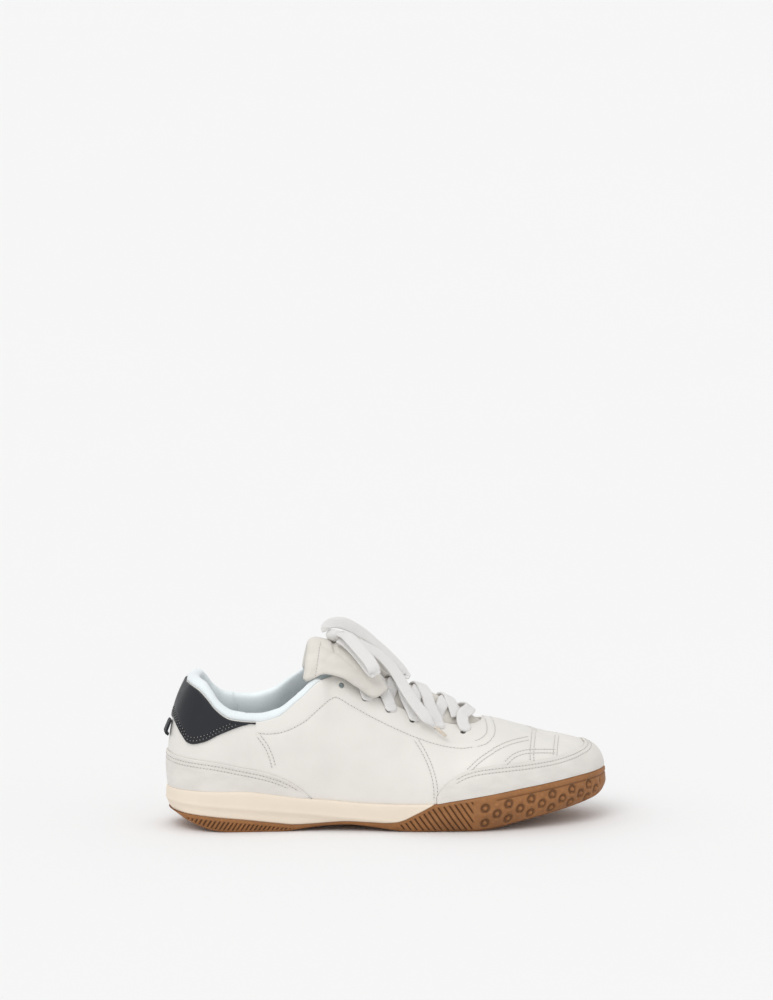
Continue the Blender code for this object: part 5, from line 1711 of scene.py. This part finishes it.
def tip_mesh(name, points, normals):
    """A hard tip, rolled tight round the end of a lace."""
    widths = between(0.80, 1.0, ease(steps_in(len(points)) / 3))
    return band_mesh(name, points, normals, TIP_WIDTH, 0.9 * TIP_WIDTH, widths)


def build_bow():
    width, thickness = sizes().lace_width, sizes().lace_thickness
    knot = build_knot()
    for name in BOW:
        points, normals = bow_line(name)
        place = np.linspace(0, 1, len(points))
        squeeze = between(0.72, 1.0, ease(place / 0.15))
        loose = name.startswith("lace_loop")
        if loose:
            squeeze = squeeze * between(0.72, 1.0, ease((1 - place) / 0.15))
        else:
            to_tip = (np.arange(len(points))[::-1] - TIP_STEPS + 2) / TIP_STEPS
            squeeze = squeeze * between(0.20, 1.0, ease(to_tip))
        mesh = band_mesh(name + "_woven", points, normals, width, thickness, squeeze)
        piece = make_piece(name + "_woven", mesh, "lace", name, material("lace"))
        if not loose:
            tip = tip_mesh(name + "_tip", points[-TIP_STEPS:], normals[-TIP_STEPS:])
            make_piece(name + "_tip", tip, "lace", None, material("tip"))


def build_knot():
    """The bow's knot: a band wrapped once round the two loops."""
    centre, half = from_heel(KNOT["centre"]), np.array(KNOT["half"]) * MILLIMETRE
    turns, columns = np.linspace(0, 2 * math.pi, 49)[:-1], np.linspace(-1, 1, 25)
    turn, place = np.meshgrid(turns, columns, indexing="ij")
    belly = np.sqrt(np.maximum(1 - place * place, 0.0)) ** 0.7
    belly = belly * (1 + 0.06 * np.cos(5 * math.pi * place) + 0.05 * np.sin(2 * turn + 3 * place))
    net = centre + np.stack([np.cos(turn) * belly, place, np.sin(turn) * belly], axis=-1) * half
    faces = net_faces(*net.shape[:2], close_wide=True).reshape(-1, 4)
    mesh = make_mesh("lace_knot_woven", net, faces)
    paint_uv(mesh, np.stack([turn * half[0], place * half[1]], axis=-1).reshape(-1, 2))
    return make_piece("lace_knot_woven", weld(mesh), "lace", "lace_knot", material("lace"))


# Sole

HEEL_RIBS = {"start": 0.030, "end": 0.345, "pitch": 0.0029, "groove": 0.00040, "depth": 0.0014, "lean": 0.55}
ARCH_TICKS = {"start": 0.345, "end": 0.450, "pitch": 0.0031, "groove": 0.00045, "depth": 0.0010, "lean": 0.0}
BALL_RIBS = {"start": 0.505, "end": 0.680, "pitch": 0.0041, "groove": 0.00042, "depth": 0.0015, "lean": -0.60}
NUBS = {"first": 0.7045, "start": 0.688, "end": 0.985, "pitch": 0.0160, "dimple": 0.0037, "soft": 0.0009,
        "nub": 0.0015, "depth": 0.0011, "height": 0.0012}
RIM_GROOVE = {"start": 0.725, "below": 0.0040, "half": 0.00055, "depth": 0.0009}


# Over what length the patterns of the side fade in and out, along it
BAND_FADE = 0.006
SPOT_FADE = 0.004
RIM_FADE = 0.01
NUB_LEVELS = (0.31, 0.575, 0.84)
WEDGE = {"rise": 0.04, "slim": 1.2, "reach": 0.0022, "height": 0.0014}
# Depth of cut at which the painted shade in the gum's grooves is full
FULL_GROOVE_SHADE_DEPTH = 0.0015


def half_round():
    """Finely spaced ribs of one side, and their distance round the sole from the heel."""
    fine = np.linspace(0, 1, 2000)
    return fine, run_along(sole_edge(-fine))


def sole_columns(step):
    fine, along = half_round()
    side = np.interp(np.linspace(0, along[-1], int(along[-1] / step) + 1), along, fine)
    return np.concatenate([-side[::-1], side[1:-1]])


def side_inset(rise, station):
    heel, toe = (curve(SIDE["rise"], SIDE[name], rise) for name in ("heel", "toe"))
    return RIM_WALL * between(heel, toe, ease((station - 0.45) / 0.25))


def off_pitch(place, pitch, shift=0.5):
    """Distance to the nearest of a row of places a pitch apart, or from midway with a shift of 0."""
    return np.abs((place / pitch + shift) % 1.0 - 0.5) * pitch


def tread_relief(along, height, station, low, high):
    """How far the outsole's side stands out or is cut in."""
    cut = np.zeros_like(height)
    for band in (HEEL_RIBS, ARCH_TICKS, BALL_RIBS):
        inside = ease((station - band["start"]) / BAND_FADE) * ease((band["end"] - station) / BAND_FADE)
        reach = ease((height - low - 0.0006) / 0.0012) * ease((high - 0.0016 - height) / 0.0012)
        off = off_pitch(along - math.tan(band["lean"]) * (height - low), band["pitch"])
        cut -= band["depth"] * ease(1.6 - off / band["groove"] * 0.9) * inside * reach
    spots = ease((station - NUBS["start"]) / SPOT_FADE) * ease((NUBS["end"] - station) / SPOT_FADE)
    face = high - RIM_GROOVE["below"] - 0.001 - low
    fine, run = half_round()
    first = float(np.interp(NUBS["first"], rib_station(fine), run))
    for k, level in enumerate(NUB_LEVELS):
        place = along + 0.5 * (k % 2) * NUBS["pitch"] - first
        off = np.hypot(off_pitch(place, NUBS["pitch"]), height - (low + level * face))
        dish = ease((NUBS["dimple"] - off) / NUBS["soft"])
        bead = np.sqrt(np.clip(1 - (off / NUBS["nub"]) ** 2, 0, 1))
        cut += spots * (-NUBS["depth"] * dish + (NUBS["depth"] + NUBS["height"]) * bead)
        midway = off_pitch(place, NUBS["pitch"], 0.0) * WEDGE["slim"]
        rise = height - (low + (level + WEDGE["rise"]) * face)
        cut += spots * WEDGE["height"] * np.clip(1 - np.hypot(midway, rise) / WEDGE["reach"], 0, 1)
    rim = ease((station - RIM_GROOVE["start"]) / RIM_FADE)
    line = np.exp(-((height - high + RIM_GROOVE["below"]) / RIM_GROOVE["half"]) ** 2)
    return cut - rim * RIM_GROOVE["depth"] * line


def along_edge(u):
    """Distance round the sole from the heel, for sorted u of both sides."""
    run = run_along(sole_edge(u))
    return np.abs(run - np.interp(0.0, u, run))


# The lugs' places as pitches before and after each rest, and the dimples on them
LUG_SPANS = ((BALL_REST, 3.5, 5.5), (HEEL_REST, 1.5, 2.5))
LUG_SOFT = 0.0006
LUG_FADE = 0.0015
LUG_DIMPLE = {"radius": 0.0022, "depth": 0.0006}


def lug_relief(plan):
    """Grooves across the underside, with round dimples on the lugs between them."""
    cut = np.zeros(plan.shape[:-1])
    x = plan[..., 0] + HEEL_REST
    for rest, before, after in LUG_SPANS:
        start, end = rest - before * LUG_PITCH, rest + after * LUG_PITCH
        inside = (x > start - LUG_GROOVE) & (x < end + LUG_GROOVE)
        off = off_pitch(x - start, LUG_PITCH)
        cut = np.maximum(cut, LUG_DEPTH * ease((LUG_GROOVE / 2 + 0.0004 - off) / LUG_SOFT) * inside)
        off = np.hypot(off_pitch(x - start, LUG_PITCH, 0.0), off_pitch(plan[..., 1], LUG_PITCH))
        dish = ease((LUG_DIMPLE["radius"] - off) / LUG_SOFT)
        cut = np.maximum(cut, LUG_DIMPLE["depth"] * dish * inside)
    return cut


UNDER_ROWS = 30
WALL_ROWS = 40
FOAM_ROWS = 26
FOAM_STEP = 0.0011
# The two pieces of the sole keep this far apart inside, where they are not seen
THIN = 0.0001


def split_height(station, bed=False):
    height = np.where(station > SPLIT["station"][-1], 2 * STACK_HEIGHT, stack(SPLIT, station))
    return np.minimum(height, stack(FOOT_BED, station) - THIN) if bed else height


def raised(plan, height):
    return np.concatenate([plan, height[..., None]], axis=-1)


def at_split(plan):
    """Plan points at the height where the two pieces of the sole part, below the foot bed."""
    return raised(plan, split_height(station_of(plan[:, 0]), bed=True))


def build_outsole():
    u = sole_columns(SOLE_STEP)
    edge, out, heart, plan_in = sole_edge(u), outward(u), heart_line(u), feather(u)
    station = station_of(edge[:, 0])
    lowest = edge - out * side_inset(np.zeros(len(u)), station)[:, None]
    share = np.linspace(0, 1, UNDER_ROWS + 1)
    plan = heart[:, None] + (lowest - heart)[:, None] * share[None, :, None]
    from_edge = np.linalg.norm(lowest - heart, axis=1)[:, None] * (1 - share)
    inside = ease((from_edge - LUG_MARGIN + LUG_FADE) / LUG_FADE)
    under = raised(plan, underside(station_of(plan[..., 0])) + lug_relief(plan) * inside)
    low, rim = underside(station_of(lowest[:, 0])), rim_height(u)
    top = np.minimum(split_height(station), rim)
    heights = between(low[:, None], top[:, None], np.linspace(0, 1, WALL_ROWS + 1)[1:])
    inset = side_inset((heights - low[:, None]) / (rim - low)[:, None], station[:, None])
    cut = tread_relief(along_edge(u)[:, None], heights, station[:, None], low[:, None], top[:, None])
    wall = edge[:, None] + out[:, None] * (cut - inset)[..., None]
    half_way = (wall[:, -1] + plan_in) / 2
    half_station = station_of(half_way[:, 0])
    ledge = np.minimum(split_height(half_station), stack(RIM, half_station))
    inner = [raised(half_way, np.minimum(ledge, top)),
             raised(plan_in, np.minimum(split_height(station_of(plan_in[:, 0])), rim)), at_split(plan_in)]
    inner += [at_split(between(heart, plan_in, part)) for part in (0.66, 0.33, 0.0)]
    points = np.concatenate([under, raised(wall, heights), np.stack(inner, axis=1)], axis=1)
    faces = net_faces(*points.shape[:2], close_wide=True).reshape(-1, 4)
    # How deep the side is cut, from 0 to 1, which the gum paints as shade
    depth = np.zeros(points.shape[:2])
    depth[:, len(share):len(share) + WALL_ROWS] = np.clip(-cut / FULL_GROOVE_SHADE_DEPTH, 0, 1)
    mesh = weld(make_mesh("outsole_gum", points, faces, sunk_in=depth))
    make_piece("outsole_gum", mesh, "gum_rubber", "outsole", material("gum"))


# The line round the midsole below which its wall draws in, its height and how it is cut
FACET = {"station": (0.00, 0.04, 0.25, 0.43, 0.60), "height": (0.0190, 0.0186, 0.0137, 0.0087, 0.0060)}
FACET_CUT = {"inset": 0.0007, "fade": 0.004, "ridge": 0.0003, "half": 0.0012}
FOAM_EDGE = {"radius": 0.0006, "rise": 0.0008}


def build_midsole():
    u = sole_columns(FOAM_STEP)
    station = station_of(sole_edge(u)[:, 0])
    u = u[(stack(SPLIT, station) < rim_height(u) - 0.0002) & (station < SPLIT["station"][-1])]
    edge, out, heart, plan_in = sole_edge(u), outward(u), heart_line(u), feather(u)
    station = station_of(edge[:, 0])
    low, rim, start = underside(station), rim_height(u), split_height(station)
    heights = between(start[:, None], rim[:, None], np.linspace(0, 1, FOAM_ROWS + 1))
    inset = side_inset((heights - low[:, None]) / (rim - low)[:, None], station[:, None])
    facet = curve(FACET["station"], FACET["height"], station)[:, None]
    crease = (FACET_CUT["inset"] * ease((facet - heights) / FACET_CUT["fade"])
              - FACET_CUT["ridge"] * np.exp(-((heights - facet) / FACET_CUT["half"]) ** 2))
    crease = crease * ease((rim - start) / FACET_CUT["fade"])[:, None]
    from_low = np.clip((heights - start[:, None]) / FOAM_EDGE["rise"], 0, 1)
    corner = FOAM_EDGE["radius"] * (1 - np.sqrt(np.clip(1 - (1 - from_low) ** 2, 0, 1)))
    wall = edge[:, None] - out[:, None] * (inset + crease + corner)[..., None]
    first = [at_split(between(heart, plan_in, part)) for part in (0.0, 0.5, 1.0)]
    half_way = (wall[:, 0] + plan_in) / 2
    first.append(raised(half_way, np.minimum(split_height(station_of(half_way[:, 0])), start)))
    last = [raised(plan_in, rim)]
    for part in (1.0, 0.5, 0.0):
        spot = at_split(between(heart, plan_in, part))
        spot[:, 2] = np.maximum(stack(FOOT_BED, station_of(spot[:, 0])), spot[:, 2] + THIN)
        last.append(spot)
    points = np.concatenate([np.stack(first, axis=1), raised(wall, heights), np.stack(last, axis=1)], axis=1)
    mesh = weld(make_mesh("midsole_cream", points, tube_faces(*points.shape[:2])))
    make_piece("midsole_cream", mesh, "midsole_foam", "midsole", material("foam"))


# Stage

FLOOR_HALF = 14.0
# The soft sun: its apparent size in degrees, its strength and the way that its light goes
SUN = {"size": 38, "strength": 0.82, "way": (0.30, 0.55, -0.80)}
# The lamp into the opening: its cone in degrees, its radius and strength, where it hangs and where it aims
SPOT = {"cone": 13, "radius": 0.03, "strength": 1.9, "place": (-0.10, -0.13, 0.46),
        "aim": (0.018, 0.018, 0.062)}
SKY_STRENGTH = 0.832


def towards(way):
    return Vector(way).to_track_quat("-Z", "Y").to_euler()


def build_stage():
    corners = [(x * FLOOR_HALF, y * FLOOR_HALF, 0) for x, y in ((-1, -1), (1, -1), (1, 1), (-1, 1))]
    mesh = make_mesh("studio_floor", corners, [(0, 1, 2, 3)], smooth=False)
    mesh.materials.append(material("floor"))
    floor = show("studio_floor", mesh)
    light = bpy.data.lights.new("key", "SUN")
    light.angle, light.energy = math.radians(SUN["size"]), SUN["strength"]
    show("key", light).rotation_euler = towards(SUN["way"])
    light = bpy.data.lights.new("opening", "SPOT")
    light.spot_size, light.spot_blend = math.radians(SPOT["cone"]), 1.0
    light.shadow_soft_size, light.energy = SPOT["radius"], SPOT["strength"]
    lamp = show("opening", light)
    lamp.location = SPOT["place"]
    lamp.rotation_euler = towards(Vector(SPOT["aim"]) - lamp.location)
    lamp.visible_camera = False
    world = bpy.data.worlds.new("studio")
    world.use_nodes = True
    sky = world.node_tree.nodes["Background"]
    sky.inputs["Color"].default_value = (1.0, 1.0, 1.0, 1.0)
    sky.inputs["Strength"].default_value = SKY_STRENGTH
    bpy.context.scene.world = world
    bpy.context.scene.view_settings.view_transform = "Standard"


def build_camera():
    data = bpy.data.cameras.new("photo_camera")
    data.lens, data.sensor_width, data.clip_end = CAMERA_LENS, CAMERA_SENSOR, 60.0
    camera = show("photo_camera", data)
    place = Matrix.Identity(4)
    for i, axis in enumerate((*camera_axes(), camera_place()[1])):
        for k in range(3):
            place[k][i] = axis[k]
    camera.matrix_world = place
    bpy.context.scene.camera = camera


# Operators, one for each piece or group of like pieces

class Step:
    """What the shoe's operators share: each runs its own builders in turn."""

    def execute(self, context):
        for build in self.builders:
            build()
        return {"FINISHED"}


class SHOE_OT_stage(Step, bpy.types.Operator):
    """Lay the pale floor, the soft lights and the camera"""

    bl_idname = "shoe.stage"
    bl_label = "Stage"
    builders = (build_stage, build_camera)


class SHOE_OT_bow(Step, bpy.types.Operator):
    """Tie the bow: its knot, two loops and two free ends"""

    bl_idname = "shoe.bow"
    bl_label = "Bow"
    builders = (build_bow,)


class SHOE_OT_upper(Step, bpy.types.Operator):
    """Shape the leather upper with its lining, relief, seams and punched eyelets"""

    bl_idname = "shoe.upper"
    bl_label = "Upper"
    builders = (build_upper,)


class SHOE_OT_overlays(Step, bpy.types.Operator):
    """Lay on the toe guard, the heel foxing and the heel tab, and sew them"""

    bl_idname = "shoe.overlays"
    bl_label = "Overlays"
    builders = (build_heel_foxing, build_heel_tab, build_toe_guard)


class SHOE_OT_lining(Step, bpy.types.Operator):
    """Pad the collar and lay the insole"""

    bl_idname = "shoe.lining"
    bl_label = "Collar and insole"
    builders = (build_cuff, build_insole)


class SHOE_OT_pull_loop(Step, bpy.types.Operator):
    """Sew the webbing loop to the heel"""

    bl_idname = "shoe.pull_loop"
    bl_label = "Pull loop"
    builders = (build_pull_loop,)


class SHOE_OT_tongue(Step, bpy.types.Operator):
    """Fold the suede tongue over"""

    bl_idname = "shoe.tongue"
    bl_label = "Tongue"
    builders = (build_tongue,)


class SHOE_OT_laces(Step, bpy.types.Operator):
    """Run the lace through the eyelets"""

    bl_idname = "shoe.laces"
    bl_label = "Laces"
    builders = (build_crossings,)


class SHOE_OT_sole(Step, bpy.types.Operator):
    """Mould the gum outsole and the cream midsole"""

    bl_idname = "shoe.sole"
    bl_label = "Sole"
    builders = (build_outsole, build_midsole)


STEPS = ("stage", "bow", "upper", "overlays", "lining", "pull_loop", "tongue", "laces", "sole")


class SHOE_PT_panel(bpy.types.Panel):
    """Lists the shoe's sizes, colours and pieces."""

    bl_idname = "SHOE_PT_panel"
    bl_label = "Indoor soccer shoe"
    bl_space_type = "VIEW_3D"
    bl_region_type = "UI"
    bl_category = "Shoe"

    def draw(self, context):
        layout = self.layout
        for group in (context.scene.shoe_sizes, context.scene.shoe_colours):
            box = layout.box()
            for name in group.__annotations__:
                box.prop(group, name)
        for step in STEPS:
            layout.operator(f"shoe.{step}")


CLASSES = (ShoeSizes, ShoeColours, SHOE_OT_stage, SHOE_OT_bow, SHOE_OT_upper, SHOE_OT_overlays,
           SHOE_OT_lining, SHOE_OT_pull_loop, SHOE_OT_tongue, SHOE_OT_laces, SHOE_OT_sole, SHOE_PT_panel)


def register():
    for item in CLASSES:
        bpy.utils.register_class(item)
    bpy.types.Scene.shoe_sizes = PointerProperty(type=ShoeSizes)
    bpy.types.Scene.shoe_colours = PointerProperty(type=ShoeColours)


def unregister():
    del bpy.types.Scene.shoe_colours
    del bpy.types.Scene.shoe_sizes
    for item in reversed(CLASSES):
        bpy.utils.unregister_class(item)


def main():
    register()
    for step in STEPS:
        getattr(bpy.ops.shoe, step)()


if __name__ == "__main__":
    main()
